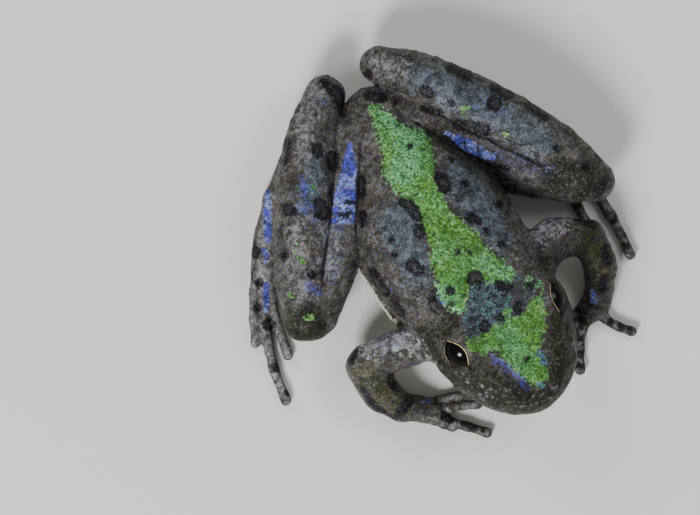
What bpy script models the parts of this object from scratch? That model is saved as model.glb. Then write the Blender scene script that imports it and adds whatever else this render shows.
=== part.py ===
"""A life-size cricket frog at rest, head to -Y, its left side to +X, standing on the floor at Z = 0.

Every place is given as (forward, left, up) in millimetres in the frog's own frame: forward from the vent
towards the snout, left of the spine, up from the floor. place() turns that into the model's metres.
"""

from math import cos, pi, radians, sin

import bmesh
import bpy
import numpy as np
from mathutils import Matrix, Vector

MM = 0.001
GAP = 0.3

# Trunk and head, as upright slices: forward, middle, half width, height of the widest line, top, bottom, and
# how square the shoulders of the slice are.
BODY = (
    (-0.15, 0.00, 1.00, 2.70, 3.50, 1.90, 2.0),
    (0.80, -0.05, 1.85, 2.80, 4.25, 1.10, 2.0),
    (2.50, -0.15, 2.65, 2.95, 5.15, 0.50, 2.0),
    (4.50, -0.25, 3.40, 3.15, 6.05, 0.15, 2.1),
    (6.50, -0.35, 4.35, 3.35, 6.90, -0.10, 2.2),
    (8.50, -0.40, 5.25, 3.65, 7.60, -0.15, 2.2),
    (11.00, -0.40, 5.75, 3.95, 8.20, -0.05, 2.2),
    (13.50, -0.35, 5.75, 4.25, 8.60, 0.55, 2.2),
    (15.50, -0.20, 5.50, 4.55, 8.75, 1.40, 2.3),
    (17.30, -0.05, 5.20, 4.75, 8.75, 2.10, 2.4),
    (19.00, 0.05, 5.25, 4.85, 8.65, 2.60, 2.5),
    (20.50, 0.08, 5.05, 4.90, 8.45, 2.95, 2.5),
    (22.00, 0.10, 4.60, 4.95, 8.10, 3.20, 2.5),
    (23.50, 0.10, 3.90, 5.00, 7.60, 3.50, 2.5),
    (24.80, 0.12, 2.90, 5.05, 6.95, 3.85, 2.4),
    (25.50, 0.16, 1.95, 5.05, 6.35, 4.25, 2.2),
    (25.90, 0.20, 1.05, 5.05, 5.75, 4.62, 2.0),
)
RUMP_TIP = (-0.40, 0.0, 2.70)
SNOUT_TIP = (26.10, 0.22, 5.05)
BODY_SIDES = 32
BODY_STEPS = 3
BELLY_ROUNDNESS = 2.30
NECK_FORWARD = 16.70

# The mouth runs round the snout as a narrow fold just under the widest line of the head.
MOUTH_CORNER_FORWARD = 17.90
MOUTH_ANGLE = radians(9.0)
LIP_ANGLE = radians(4.5)
MOUTH_DEPTH = 0.28

EYE_FORWARD = 19.29
EYE_MIDDLE = 0.12
EYE_LEFT = 3.46
EYE_UP = 7.35
EYE_RADIUS = 1.35
EYE_GAP = 0.25
LID_THICKNESS = 0.35
EYE_GAZE = (0.16, 0.77, 0.65)
LID_OPENING = radians(54.0)
LID_SQUINT = 0.62

NOSTRIL = (24.70, 1.15, 6.55)
NOSTRIL_RADIUS = 0.26
EARDRUM = (17.75, 4.98, 5.80)
EARDRUM_RADIUS = 0.72

# Limbs: forward, left, up and radius at each station of the flesh.
LIMBS = {
    "upper_arm_right": (
        (17.8, -4.2, 4.10, 1.40), (17.25, -6.4, 3.60, 1.48), (16.95, -9.05, 2.70, 1.38)),
    "forearm_right": (
        (17.2, -9.5, 2.45, 1.25), (19.1, -9.3, 1.95, 1.38), (20.95, -8.45, 1.20, 1.02)),
    "upper_arm_left": (
        (16.6, 4.3, 4.20, 1.60), (15.9, 6.9, 3.65, 1.60), (16.9, 9.1, 2.70, 1.25)),
    "forearm_left": (
        (17.1, 9.3, 2.55, 1.20), (19.0, 9.20, 2.05, 1.25), (20.5, 8.55, 1.20, 0.95)),
    "thigh_right": (
        (2.6, -1.7, 3.10, 1.70), (5.6, -4.4, 2.95, 2.10), (8.8, -7.4, 2.85, 2.10), (12.0, -10.6, 2.90, 1.65)),
    "shank_right": (
        (12.1, -11.6, 3.15, 1.50), (9.2, -10.4, 3.40, 1.90), (5.33, -7.92, 3.55, 2.15),
        (1.15, -4.87, 3.25, 1.92), (-1.28, -2.25, 2.65, 1.45)),
    "tarsus_right": (
        (-1.2, -3.2, 1.50, 0.90), (0.5, -5.1, 1.10, 0.85), (2.2, -7.3, 0.90, 0.80), (3.4, -8.9, 0.80, 0.75)),
    "thigh_left": (
        (2.6, 1.5, 3.10, 1.70), (6.0, 4.2, 2.95, 2.10), (9.7, 7.1, 2.90, 2.10), (12.9, 10.5, 3.00, 1.65)),
    "shank_left": (
        (13.7, 11.7, 3.20, 1.45), (10.12, 10.02, 3.60, 2.00), (5.12, 6.95, 3.90, 2.15),
        (0.94, 4.10, 3.50, 1.87), (-1.3, 2.2, 2.80, 1.35)),
    "tarsus_left": (
        (-1.2, 2.5, 1.60, 0.90), (1.8, 5.0, 0.95, 0.85), (4.9, 7.5, 0.85, 0.80)),
}
LIMB_SIDES = 14
LIMB_STEPS = 3

# Hands and feet: the palm or sole first, then one row of stations for each digit.
HANDS = {
    "hand_right": (
        ((20.95, -8.25, 1.00, 0.92), (21.8, -7.1, 0.62, 0.95), (22.4, -6.5, 0.50, 0.75)),
        ((21.5, -6.9, 0.45, 0.40), (21.9, -5.4, 0.38, 0.36), (22.3, -4.1, 0.33, 0.33)),
        ((22.0, -6.7, 0.45, 0.42), (22.8, -5.0, 0.38, 0.37), (23.5, -3.3, 0.33, 0.34)),
        ((22.2, -6.8, 0.45, 0.44), (23.8, -5.5, 0.38, 0.38), (25.6, -3.8, 0.33, 0.35)),
        ((22.2, -7.2, 0.45, 0.42), (23.2, -6.5, 0.38, 0.37), (24.0, -5.8, 0.33, 0.34)),
    ),
    "hand_left": (
        ((20.65, 8.4, 1.00, 0.90), (21.4, 7.8, 0.62, 1.05), (21.8, 7.0, 0.50, 0.75)),
        ((21.1, 7.0, 0.45, 0.40), (21.6, 5.6, 0.38, 0.36), (22.1, 4.5, 0.33, 0.33)),
        ((21.5, 6.9, 0.45, 0.42), (22.4, 5.3, 0.38, 0.37), (23.3, 3.9, 0.33, 0.34)),
        ((21.7, 7.0, 0.45, 0.44), (23.1, 5.5, 0.38, 0.38), (25.0, 4.4, 0.33, 0.35)),
        ((21.5, 7.6, 0.45, 0.42), (23.1, 8.0, 0.38, 0.37), (24.5, 9.1, 0.33, 0.34)),
    ),
}
FEET = {
    "foot_right": (
        ((3.5, -9.0, 0.75, 0.78), (5.6, -10.8, 0.60, 0.92), (7.4, -12.0, 0.50, 0.88)),
        ((5.2, -10.2, 0.45, 0.42), (6.9, -10.7, 0.38, 0.38), (8.3, -10.8, 0.33, 0.34)),
        ((5.8, -10.6, 0.45, 0.42), (8.4, -11.6, 0.40, 0.38), (10.9, -12.0, 0.33, 0.34)),
        ((6.2, -11.1, 0.45, 0.44), (10.0, -12.8, 0.42, 0.40), (13.6, -13.6, 0.33, 0.35)),
        ((6.4, -11.5, 0.45, 0.46), (10.8, -13.9, 0.45, 0.43), (13.8, -14.9, 0.40, 0.40),
         (16.4, -15.35, 0.33, 0.36)),
        ((6.2, -11.8, 0.45, 0.44), (9.2, -13.9, 0.42, 0.40), (11.7, -15.2, 0.33, 0.35)),
    ),
    "foot_left": (
        ((5.0, 7.6, 0.75, 0.80), (7.3, 8.9, 0.60, 0.95), (9.4, 9.9, 0.50, 0.90)),
        ((7.0, 8.4, 0.45, 0.42), (9.0, 8.5, 0.38, 0.38), (10.4, 8.2, 0.33, 0.34)),
        ((7.6, 8.9, 0.45, 0.42), (10.4, 9.2, 0.40, 0.38), (12.9, 9.0, 0.33, 0.34)),
        ((8.0, 9.3, 0.45, 0.44), (12.6, 10.1, 0.42, 0.40), (16.6, 10.2, 0.33, 0.35)),
        ((8.2, 9.7, 0.45, 0.46), (12.75, 11.5, 0.45, 0.43), (16.2, 11.95, 0.40, 0.40),
         (19.6, 11.8, 0.33, 0.36)),
        ((8.0, 10.0, 0.45, 0.44), (11.0, 11.6, 0.42, 0.40), (13.7, 12.9, 0.33, 0.35)),
    ),
}
DIGIT_SIDES = 8
DIGIT_STEPS = 2
PALM_SIDES = 10
WEB_REACH = 0.60
WEB_SAG = 0.42
WEB_THICKNESS = 0.5

# The larger warts of the back: forward, left and radius.
WARTS = (
    (8.30, 1.36, 0.60), (8.75, -1.68, 0.50), (10.48, -1.92, 0.50), (12.48, -3.45, 0.58), (15.40, -0.28, 0.52),
    (15.26, -3.64, 0.42), (4.99, 0.69, 0.38), (15.30, -2.33, 0.36), (13.15, -0.46, 0.34), (11.49, 1.67, 0.50),
    (11.73, 4.09, 0.42), (11.16, -4.26, 0.34), (5.39, -1.69, 0.34), (10.12, -3.96, 0.36), (14.22, 2.64, 0.40),
    (7.24, 2.76, 0.36), (9.22, 2.60, 0.38), (12.88, 2.14, 0.36),
)
WART_HEIGHT = 0.30

SKIN_COLOURS = {
    "back": (0.075, 0.068, 0.055),
    "face": (0.085, 0.078, 0.062),
    "limb": (0.070, 0.062, 0.050),
    "digit": (0.110, 0.098, 0.080),
    "eye": (0.010, 0.008, 0.006),
}


def place(forward, left, up):
    """The model point, in metres, of a place in the frog's own frame."""
    return Vector((left * MM, -forward * MM, up * MM))


def smooth_rows(rows, steps):
    """Rows read from a smooth curve through the given ones, with this many steps from each to the next."""
    rows = np.array(rows, float)
    before = np.vstack([2 * rows[0] - rows[1], rows[:-1]])[: len(rows) - 1]
    first, second = rows[:-1], rows[1:]
    after = np.vstack([rows[2:], 2 * rows[-1] - rows[-2]])
    parts = []
    for step in range(steps):
        t = step / steps
        parts.append(
            first
            + 0.5 * t * (second - before)
            + t * t * (before - 2.5 * first + 2 * second - 0.5 * after)
            + 0.5 * t**3 * (3 * first - before - 3 * second + after)
        )
    mixed = np.stack(parts, axis=1).reshape(-1, rows.shape[1])
    return np.vstack([mixed, rows[-1:]])


def skin_material(name):
    """A moist, matt skin in one of the frog's colours."""
    material = bpy.data.materials.get(name) or bpy.data.materials.new(name)
    material.use_nodes = True
    shader = material.node_tree.nodes["Principled BSDF"]
    shader.inputs["Base Color"].default_value = (*SKIN_COLOURS[name], 1.0)
    shader.inputs["Roughness"].default_value = 0.15 if name == "eye" else 0.45
    shader.inputs["Metallic"].default_value = 0.0
    return material


def object_of(name, mesh):
    """A new object of this mesh, in the scene."""
    made = bpy.data.objects.new(name, mesh)
    bpy.context.scene.collection.objects.link(made)
    return made


def loft(name, rings, first_tip, last_tip):
    """A closed skin over rings of points, closed at each end by a tip point, or flat where the tip is None."""
    shape = bmesh.new()
    loops = [[shape.verts.new(point) for point in ring] for ring in rings]
    sides = len(loops[0])
    for low, high in zip(loops, loops[1:]):
        for i in range(sides):
            j = (i + 1) % sides
            shape.faces.new((low[i], low[j], high[j], high[i]))
    for loop, tip in ((loops[0], first_tip), (loops[-1], last_tip)):
        if tip is None:
            shape.faces.new(loop)
            continue
        pole = shape.verts.new(tip)
        for i in range(sides):
            shape.faces.new((loop[i], loop[(i + 1) % sides], pole))
    bmesh.ops.recalc_face_normals(shape, faces=shape.faces)
    mesh = bpy.data.meshes.new(name)
    shape.to_mesh(mesh)
    shape.free()
    return object_of(name, mesh)


def signed_power(value, power):
    """value raised to a power below one, with its sign kept."""
    return abs(value) ** power * (1 if value >= 0 else -1)


def slice_angles():
    """Angles round a body slice from the left side over the back, with extra ones for the fold of the mouth."""
    even = [2 * pi * i / BODY_SIDES for i in range(BODY_SIDES)]
    near_mouth = MOUTH_ANGLE + LIP_ANGLE
    kept = [a for a in even if min(abs(a - 2 * pi), abs(a)) > near_mouth + 0.02 and abs(a - pi) > near_mouth + 0.02]
    fold = [-MOUTH_ANGLE - LIP_ANGLE, -MOUTH_ANGLE, -MOUTH_ANGLE + LIP_ANGLE, 0.6 * MOUTH_ANGLE]
    left = [a % (2 * pi) for a in fold]
    right = [(pi - a) % (2 * pi) for a in fold]
    return sorted(kept + left + right)


def is_mouth(angle):
    """Whether this angle of a slice is the bottom of the mouth's fold."""
    return min(abs(angle - (2 * pi - MOUTH_ANGLE)), abs(angle - (pi + MOUTH_ANGLE))) < 1e-6


def body_ring(row, grow):
    """The points of one upright slice of the body: a rounded oval, flatter below, with the fold of the mouth."""
    forward, middle, half_width, widest, top, bottom, squareness = row
    depth = MOUTH_DEPTH if forward > MOUTH_CORNER_FORWARD and not grow else 0.0
    depth = min(depth, 0.25 * half_width)
    points = []
    for angle in slice_angles():
        roundness = squareness if sin(angle) >= 0 else BELLY_ROUNDNESS
        reach = (top - widest if sin(angle) >= 0 else widest - bottom) + grow
        inward = depth if is_mouth(angle) else 0.0
        across = (half_width + grow - inward) * signed_power(cos(angle), 2 / roundness)
        points.append(place(forward, middle + across, widest + reach * signed_power(sin(angle), 2 / roundness)))
    return points


def body_rows(start, end):
    """The body's slices from start to end, measured forward, as read from the smooth curve through BODY."""
    rows = smooth_rows(BODY, BODY_STEPS)
    inside = rows[(rows[:, 0] > start + 0.2) & (rows[:, 0] < end - 0.2)]
    cuts = [
        np.array([np.interp(at, rows[:, 0], rows[:, i]) for i in range(rows.shape[1])])
        for at in (start, end)
        if rows[0, 0] < at < rows[-1, 0]
    ]
    found = np.vstack([inside, *cuts])
    return found[np.argsort(found[:, 0])]


def body_shell(name, start, end, grow=0.0):
    """The trunk or head between two upright planes; a plane past the rump or the snout leaves that end round."""
    rows = body_rows(start, end)
    rump = place(RUMP_TIP[0] - grow, *RUMP_TIP[1:]) if start < BODY[0][0] else None
    snout = place(SNOUT_TIP[0] + grow, *SNOUT_TIP[1:]) if end > BODY[-1][0] else None
    return loft(name, [body_ring(row, grow) for row in rows], rump, snout)


def tube(name, stations, sides, steps, grow=0.0):
    """A round limb along its stations, swelling with their radii and closed by half balls at both ends."""
    rows = smooth_rows(stations, steps).tolist()
    points = [place(*row[:3]) for row in rows]
    radii = [(row[3] + grow) * MM for row in rows]
    rings = []
    for i, (point, radius) in enumerate(zip(points, radii)):
        along = (points[min(i + 1, len(points) - 1)] - points[max(i - 1, 0)]).normalized()
        across = along.cross(Vector((0, 0, 1))).normalized()
        over = across.cross(along)
        last = len(points) - 1
        lifts = (pi / 3, pi / 6, 0.0) if i == 0 else (0.0, pi / 6, pi / 3) if i == last else (0.0,)
        outward = -along if i == 0 else along
        for lift in lifts:
            centre = point + outward * radius * sin(lift)
            ring_radius = radius * cos(lift)
            turns = [2 * pi * k / sides for k in range(sides)]
            rings.append([centre + ring_radius * (across * cos(a) + over * sin(a)) for a in turns])
        if i == 0:
            first_tip = point + outward * radius
        if i == last:
            last_tip = point + outward * radius
    return loft(name, rings, first_tip, last_tip)


def ball(name, centre, radii, segments=16, rings=10):
    """A ball or egg at a place in the frog's frame; radii run left, forward and up."""
    shape = bmesh.new()
    bmesh.ops.create_uvsphere(shape, u_segments=segments, v_segments=rings, radius=MM)
    bmesh.ops.transform(shape, matrix=Matrix.Diagonal((*radii, 1.0)), verts=shape.verts)
    bmesh.ops.translate(shape, vec=place(*centre), verts=shape.verts)
    mesh = bpy.data.meshes.new(name)
    shape.to_mesh(mesh)
    shape.free()
    return object_of(name, mesh)


def cone(name, tip, direction, half_angle, length, squint):
    """A cone that opens from its tip along a direction, both in the frog's frame, squinted from above."""
    shape = bmesh.new()
    radius = length * np.tan(half_angle)
    bmesh.ops.create_cone(
        shape, cap_ends=True, segments=28, radius1=0.02 * MM, radius2=radius * MM, depth=length * MM
    )
    bmesh.ops.translate(shape, vec=(0, 0, 0.5 * length * MM), verts=shape.verts)
    bmesh.ops.scale(shape, vec=(1, squint, 1), verts=shape.verts)
    turn = place(*direction).to_track_quat("Z", "Y").to_matrix().to_4x4()
    bmesh.ops.transform(shape, matrix=Matrix.Translation(place(*tip)) @ turn, verts=shape.verts)
    mesh = bpy.data.meshes.new(name)
    shape.to_mesh(mesh)
    shape.free()
    return object_of(name, mesh)


def combine(target, operation, others):
    """One Boolean of target with closed helper objects, applied; the helpers are then removed."""
    helpers = bpy.data.collections.new("helpers")
    bpy.context.scene.collection.children.link(helpers)
    for other in others:
        bpy.context.scene.collection.objects.unlink(other)
        helpers.objects.link(other)
        other.hide_render = True
        other.display_type = "WIRE"
    modifier = target.modifiers.new(operation.lower(), "BOOLEAN")
    modifier.operation = operation
    modifier.operand_type = "COLLECTION"
    modifier.collection = helpers
    modifier.solver = "EXACT"
    modifier.use_self = len(others) > 1
    bpy.context.view_layer.update()
    graph = bpy.context.evaluated_depsgraph_get()
    made = bpy.data.meshes.new_from_object(target.evaluated_get(graph))
    target.modifiers.clear()
    target.data = made
    for other in others:
        bpy.data.objects.remove(other)
    bpy.data.collections.remove(helpers)
    keep_largest(target)
    return target


def keep_largest(target):
    """Leaves only the largest closed surface of the object's mesh."""
    shape = bmesh.new()
    shape.from_mesh(target.data)
    bmesh.ops.remove_doubles(shape, verts=shape.verts, dist=1e-7)
    unseen = set(shape.verts)
    pieces = []
    while unseen:
        found = {unseen.pop()}
        edge = set(found)
        while edge:
            edge = {e.other_vert(v) for v in edge for e in v.link_edges} - found
            found |= edge
        unseen -= found
        pieces.append(found)
    pieces.sort(key=surface_area, reverse=True)
    for piece in pieces[1:]:
        bmesh.ops.delete(shape, geom=list(piece), context="VERTS")
    shape.to_mesh(target.data)
    shape.free()


def surface_area(vertices):
    """The area of the faces that these vertices hold."""
    return sum(face.calc_area() for face in {face for vertex in vertices for face in vertex.link_faces})


def floor_cutter():
    """A slab under the floor, which leaves a small flat on whatever it trims."""
    shape = bmesh.new()
    bmesh.ops.create_cube(shape, size=1.0)
    bmesh.ops.scale(shape, vec=(0.1, 0.1, 0.01), verts=shape.verts)
    bmesh.ops.translate(shape, vec=(0, -0.01, -0.005), verts=shape.verts)
    mesh = bpy.data.meshes.new("floor")
    shape.to_mesh(mesh)
    shape.free()
    return object_of("floor", mesh)


def back_height(forward, left):
    """How high the back is at a place in plan."""
    rows = smooth_rows(BODY, BODY_STEPS)
    middle, half_width, widest, top, _, roundness = [np.interp(forward, rows[:, 0], rows[:, i]) for i in range(1, 7)]
    share = min(abs(left - middle) / half_width, 0.99)
    return widest + (top - widest) * (1 - share**roundness) ** (1 / roundness)


def warts():
    """Low domes sunk into the back."""
    return [
        ball(f"wart_{i}", (forward, left, back_height(forward, left) - 0.5 * radius + 0.5 * WART_HEIGHT),
             (radius, radius, 0.5 * radius + 0.5 * WART_HEIGHT), segments=8, rings=5)
        for i, (forward, left, radius) in enumerate(WARTS)
    ]


def make_torso():
    """The trunk from rump to neck, warty above and flat where the belly rests."""
    torso = body_shell("torso", RUMP_TIP[0] - 1, NECK_FORWARD - GAP / 2)
    combine(torso, "UNION", warts())
    return combine(torso, "DIFFERENCE", [floor_cutter()])


def make_head():
    """The head with its brows, open lids, nostrils, eardrums and the line of the mouth."""
    head = body_shell("head", NECK_FORWARD + GAP / 2, SNOUT_TIP[0] + 1)
    socket = EYE_RADIUS + EYE_GAP
    brow = socket + LID_THICKNESS
    added, cut = [], []
    for side in (-1, 1):
        centre = (EYE_FORWARD, EYE_MIDDLE + side * EYE_LEFT, EYE_UP)
        added.append(ball("brow", centre, (brow, brow, brow), 24, 16))
        drum = (EARDRUM[0], side * EARDRUM[1], EARDRUM[2])
        added.append(ball("drum", drum, (0.35, EARDRUM_RADIUS, EARDRUM_RADIUS), 14, 8))
        cut.append(ball("socket", centre, (socket, socket, socket), 24, 16))
        gaze = (EYE_GAZE[0], side * EYE_GAZE[1], EYE_GAZE[2])
        cut.append(cone("opening", centre, gaze, LID_OPENING, 3 * EYE_RADIUS, LID_SQUINT))
        nostril = (NOSTRIL[0], side * NOSTRIL[1], NOSTRIL[2])
        cut.append(ball("nostril", nostril, (NOSTRIL_RADIUS,) * 3, 8, 6))
    combine(head, "UNION", added)
    return combine(head, "DIFFERENCE", cut)


def make_eye(name, side):
    """One eyeball, clear of its lids."""
    return ball(name, (EYE_FORWARD, EYE_MIDDLE + side * EYE_LEFT, EYE_UP), (EYE_RADIUS,) * 3, 20, 12)


def limb(name, *parents):
    """A limb segment, trimmed clear of the pieces that it grows from or lies against."""
    made = tube(name, LIMBS[name], LIMB_SIDES, LIMB_STEPS)
    return trimmed(made, parents)


def trimmed(made, parents):
    """The piece cut clear of its parents and flat on the floor."""
    cutters = [floor_cutter()]
    for parent in parents:
        if parent == "body":
            cutters.append(body_shell("clear", RUMP_TIP[0] - 1, SNOUT_TIP[0] + 1, GAP))
        elif parent in LIMBS:
            cutters.append(tube("clear", LIMBS[parent], LIMB_SIDES, LIMB_STEPS, GAP))
    for cutter in cutters:
        combine(made, "DIFFERENCE", [cutter])
    return made


def digits(name, rows):
    """The palm or sole with its digits, not yet trimmed."""
    palm = tube(name, rows[0], PALM_SIDES, DIGIT_STEPS)
    fingers = [tube(f"{name}_digit", row, DIGIT_SIDES, DIGIT_STEPS) for row in rows[1:]]
    return palm, fingers


def web(rows):
    """The web of a foot: a thin plate from the sole out along the toes, sagging back between them."""
    reached = []
    for row in rows[1:]:
        path = smooth_rows(row, 8)
        reached.append(path[int(WEB_REACH * (len(path) - 1)), :2])
    root = np.array(rows[0][1][:2])
    edge = [reached[0]]
    for near, far in zip(reached, reached[1:]):
        middle = 0.5 * (near + far)
        edge.append(middle + WEB_SAG * 0.5 * (root - middle))
        edge.append(far)
    outline = [root, *edge]
    shape = bmesh.new()
    bottom = [shape.verts.new(place(x, y, 0.02)) for x, y in outline]
    top = [shape.verts.new(place(x, y, 0.02 + WEB_THICKNESS)) for x, y in outline]
    count = len(outline)
    for i in range(1, count - 1):
        shape.faces.new((bottom[0], bottom[i], bottom[i + 1]))
        shape.faces.new((top[0], top[i + 1], top[i]))
    for i in range(count):
        j = (i + 1) % count
        shape.faces.new((bottom[i], top[i], top[j], bottom[j]))
    bmesh.ops.recalc_face_normals(shape, faces=shape.faces)
    mesh = bpy.data.meshes.new("web")
    shape.to_mesh(mesh)
    shape.free()
    return object_of("web", mesh)


def hand(name, forearm):
    """A hand: palm and four slender fingers."""
    palm, fingers = digits(name, HANDS[name])
    combine(palm, "UNION", fingers)
    return trimmed(palm, [forearm])


def foot(name, *parents):
    """A foot: sole, five toes and the web between them."""
    sole, toes = digits(name, FEET[name])
    combine(sole, "UNION", [*toes, web(FEET[name])])
    return trimmed(sole, parents)


def make_limbs(side):
    """All limb pieces of one side."""
    arm = [
        limb(f"upper_arm_{side}", "body"),
        limb(f"forearm_{side}", f"upper_arm_{side}"),
    ]
    leg = [
        limb(f"thigh_{side}", "body"),
        limb(f"shank_{side}", f"thigh_{side}", "body"),
        limb(f"tarsus_{side}", f"shank_{side}", "body"),
    ]
    ends = [
        hand(f"hand_{side}", f"forearm_{side}"),
        foot(f"foot_{side}", f"tarsus_{side}", f"shank_{side}"),
    ]
    return arm + leg, ends


def finish(made, colour):
    """Gives a piece its colour and smooth shading."""
    made.data.materials.clear()
    made.data.materials.append(skin_material(colour))
    made.data.shade_smooth()
    made.data.set_sharp_from_angle(angle=radians(40))


def centre_on_origin(pieces):
    """Moves the whole frog so that the middle of its box stands over the origin."""
    points = [vertex.co for piece in pieces for vertex in piece.data.vertices]
    low = [min(point[axis] for point in points) for axis in range(2)]
    high = [max(point[axis] for point in points) for axis in range(2)]
    shift = Vector((-(low[0] + high[0]) / 2, -(low[1] + high[1]) / 2, 0))
    for piece in pieces:
        piece.data.transform(Matrix.Translation(shift))


def main():
    """Makes every piece and stands the frog over the origin."""
    for old in list(bpy.data.objects):
        bpy.data.objects.remove(old)
    torso, head = make_torso(), make_head()
    finish(torso, "back")
    finish(head, "face")
    pieces = [torso, head]
    for side, sign in (("right", -1), ("left", 1)):
        eye = make_eye(f"eye_{side}", sign)
        finish(eye, "eye")
        limbs, ends = make_limbs(side)
        for piece in limbs:
            finish(piece, "limb")
        for piece in ends:
            finish(piece, "digit")
        pieces += [eye, *limbs, *ends]
    centre_on_origin(pieces)


if __name__ == "__main__":
    main()
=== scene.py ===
"""The looks of a resting cricket frog: one seamless skin, two eyes with their lids, and a plain stage.

Shapes are worked out in the frog's own frame, in millimetres: forward from the vent towards the snout,
left of the spine, and up from the floor. The skin is the zero level of a distance field made from the
frog's slices and limbs, so that the parts flow into each other. Every other piece is a surface of two
parameters.
"""

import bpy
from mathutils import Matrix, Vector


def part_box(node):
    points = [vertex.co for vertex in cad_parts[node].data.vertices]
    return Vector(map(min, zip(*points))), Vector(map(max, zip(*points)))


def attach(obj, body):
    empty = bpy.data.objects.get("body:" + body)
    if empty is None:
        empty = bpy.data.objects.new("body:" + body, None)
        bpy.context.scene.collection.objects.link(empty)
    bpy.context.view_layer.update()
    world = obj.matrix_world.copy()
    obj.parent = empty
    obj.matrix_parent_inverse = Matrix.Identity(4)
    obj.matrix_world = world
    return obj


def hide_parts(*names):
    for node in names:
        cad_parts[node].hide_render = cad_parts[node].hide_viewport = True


bl_info = {
    "name": "Resting cricket frog",
    "version": (1, 0, 0),
    "blender": (4, 5, 0),
    "location": "View3D > Sidebar > Frog",
    "description": "Makes the skin, the eyes, the lids and the stage of a resting cricket frog",
    "category": "Add Mesh",
}

from math import cos, pi, radians, sin, tan

import bpy
import numpy as np
from bpy.props import FloatProperty, FloatVectorProperty, IntProperty, PointerProperty
from mathutils import Matrix, Vector

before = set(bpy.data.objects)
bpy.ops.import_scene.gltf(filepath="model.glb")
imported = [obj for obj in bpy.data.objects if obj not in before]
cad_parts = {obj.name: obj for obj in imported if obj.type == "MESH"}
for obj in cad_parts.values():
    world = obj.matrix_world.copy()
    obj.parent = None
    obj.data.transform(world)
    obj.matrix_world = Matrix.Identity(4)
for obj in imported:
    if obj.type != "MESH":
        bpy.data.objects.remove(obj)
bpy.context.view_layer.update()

MM = 0.001
# Small numbers that keep a division or a root away from nothing.
SPECK = 1e-6
TINY = 1e-9
LEAST_SLOPE = 1e-3

# Trunk and head, as upright slices: forward, middle, half width, height of the widest line, top, bottom, and
# how square the shoulders of the slice are.
BODY = np.array((
    (-0.40, 0.00, 0.00, 2.70, 2.70, 2.70, 2.0),
    (-0.15, 0.00, 1.00, 2.70, 3.50, 1.90, 2.0),
    (0.80, -0.05, 1.85, 2.80, 4.25, 1.10, 2.0),
    (2.50, -0.15, 2.65, 2.95, 5.15, 0.50, 2.0),
    (4.50, -0.25, 3.40, 3.15, 6.05, 0.15, 2.1),
    (6.50, -0.35, 4.35, 3.35, 6.90, -0.10, 2.2),
    (8.50, -0.40, 5.25, 3.65, 7.60, -0.15, 2.2),
    (11.00, -0.40, 5.75, 3.95, 8.20, -0.05, 2.2),
    (13.50, -0.35, 5.75, 4.25, 8.60, 0.55, 2.2),
    (15.50, -0.20, 5.50, 4.55, 8.75, 1.40, 2.3),
    (17.30, -0.05, 5.20, 4.75, 8.75, 2.10, 2.4),
    (19.00, 0.05, 5.25, 4.85, 8.65, 2.60, 2.5),
    (20.50, 0.08, 5.05, 4.90, 8.45, 2.95, 2.5),
    (22.00, 0.10, 4.60, 4.95, 8.10, 3.20, 2.5),
    (23.50, 0.10, 3.90, 5.00, 7.60, 3.50, 2.5),
    (24.80, 0.12, 2.90, 5.05, 6.95, 3.85, 2.4),
    (25.50, 0.16, 1.95, 5.05, 6.35, 4.25, 2.2),
    (25.90, 0.20, 1.05, 5.05, 5.75, 4.62, 2.0),
    (26.10, 0.22, 0.00, 5.05, 5.05, 5.05, 2.0),
))
BELLY_SQUARENESS = 2.3
# How closely the slices are worked out, how far past both ends, and which of their columns are squares: of
# the half width, of the height above the widest line, and of the height below it.
TABLE_STEP = 0.05
TABLE_PAST = 3.0
SQUARES = [1, 3, 4]

# Limbs: forward, left, up and radius at each station. A limb grows from its first station.
LIMBS = {
    "upper_arm_right": ((17.8, -4.2, 4.10, 1.40), (17.25, -6.4, 3.60, 1.48), (16.95, -9.05, 2.70, 1.38)),
    "forearm_right": ((17.2, -9.5, 2.45, 1.25), (19.1, -9.3, 1.95, 1.38), (20.95, -8.45, 1.20, 1.02)),
    "upper_arm_left": ((16.6, 4.3, 4.20, 1.60), (15.9, 6.9, 3.65, 1.60), (16.9, 9.1, 2.70, 1.25)),
    "forearm_left": ((17.1, 9.3, 2.55, 1.20), (19.0, 9.20, 2.05, 1.25), (20.5, 8.55, 1.20, 0.95)),
    "thigh_right": (
        (2.6, -1.7, 3.10, 1.70), (5.6, -4.4, 2.95, 2.10), (8.8, -7.4, 2.85, 2.10), (12.0, -10.6, 2.90, 1.65)),
    "shank_right": (
        (12.1, -11.6, 3.15, 1.50), (9.2, -10.4, 3.40, 1.90), (5.33, -7.92, 3.55, 2.15),
        (1.15, -4.87, 3.25, 1.92), (-1.28, -2.25, 2.65, 1.45)),
    "tarsus_right": (
        (-1.2, -3.2, 1.50, 0.90), (0.5, -5.1, 1.10, 0.85), (2.2, -7.3, 0.90, 0.80), (3.4, -8.9, 0.80, 0.75)),
    "thigh_left": (
        (2.6, 1.5, 3.10, 1.70), (6.0, 4.2, 2.95, 2.10), (9.7, 7.1, 2.90, 2.10), (12.9, 10.5, 3.00, 1.65)),
    "shank_left": (
        (13.7, 11.7, 3.20, 1.45), (10.12, 10.02, 3.60, 2.00), (5.12, 6.95, 3.90, 2.15),
        (0.94, 4.10, 3.50, 1.87), (-1.3, 2.2, 2.80, 1.35)),
    "tarsus_left": ((-1.2, 2.5, 1.60, 0.90), (1.8, 5.0, 0.95, 0.85), (4.9, 7.5, 0.85, 0.80)),
}
# How many steps a path gets from each station to the next.
LIMB_STEPS = 5
DIGIT_STEPS = 10
FORM_STEPS = 4
WEB_STEPS = 8
MARK_STEPS = 3
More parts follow.
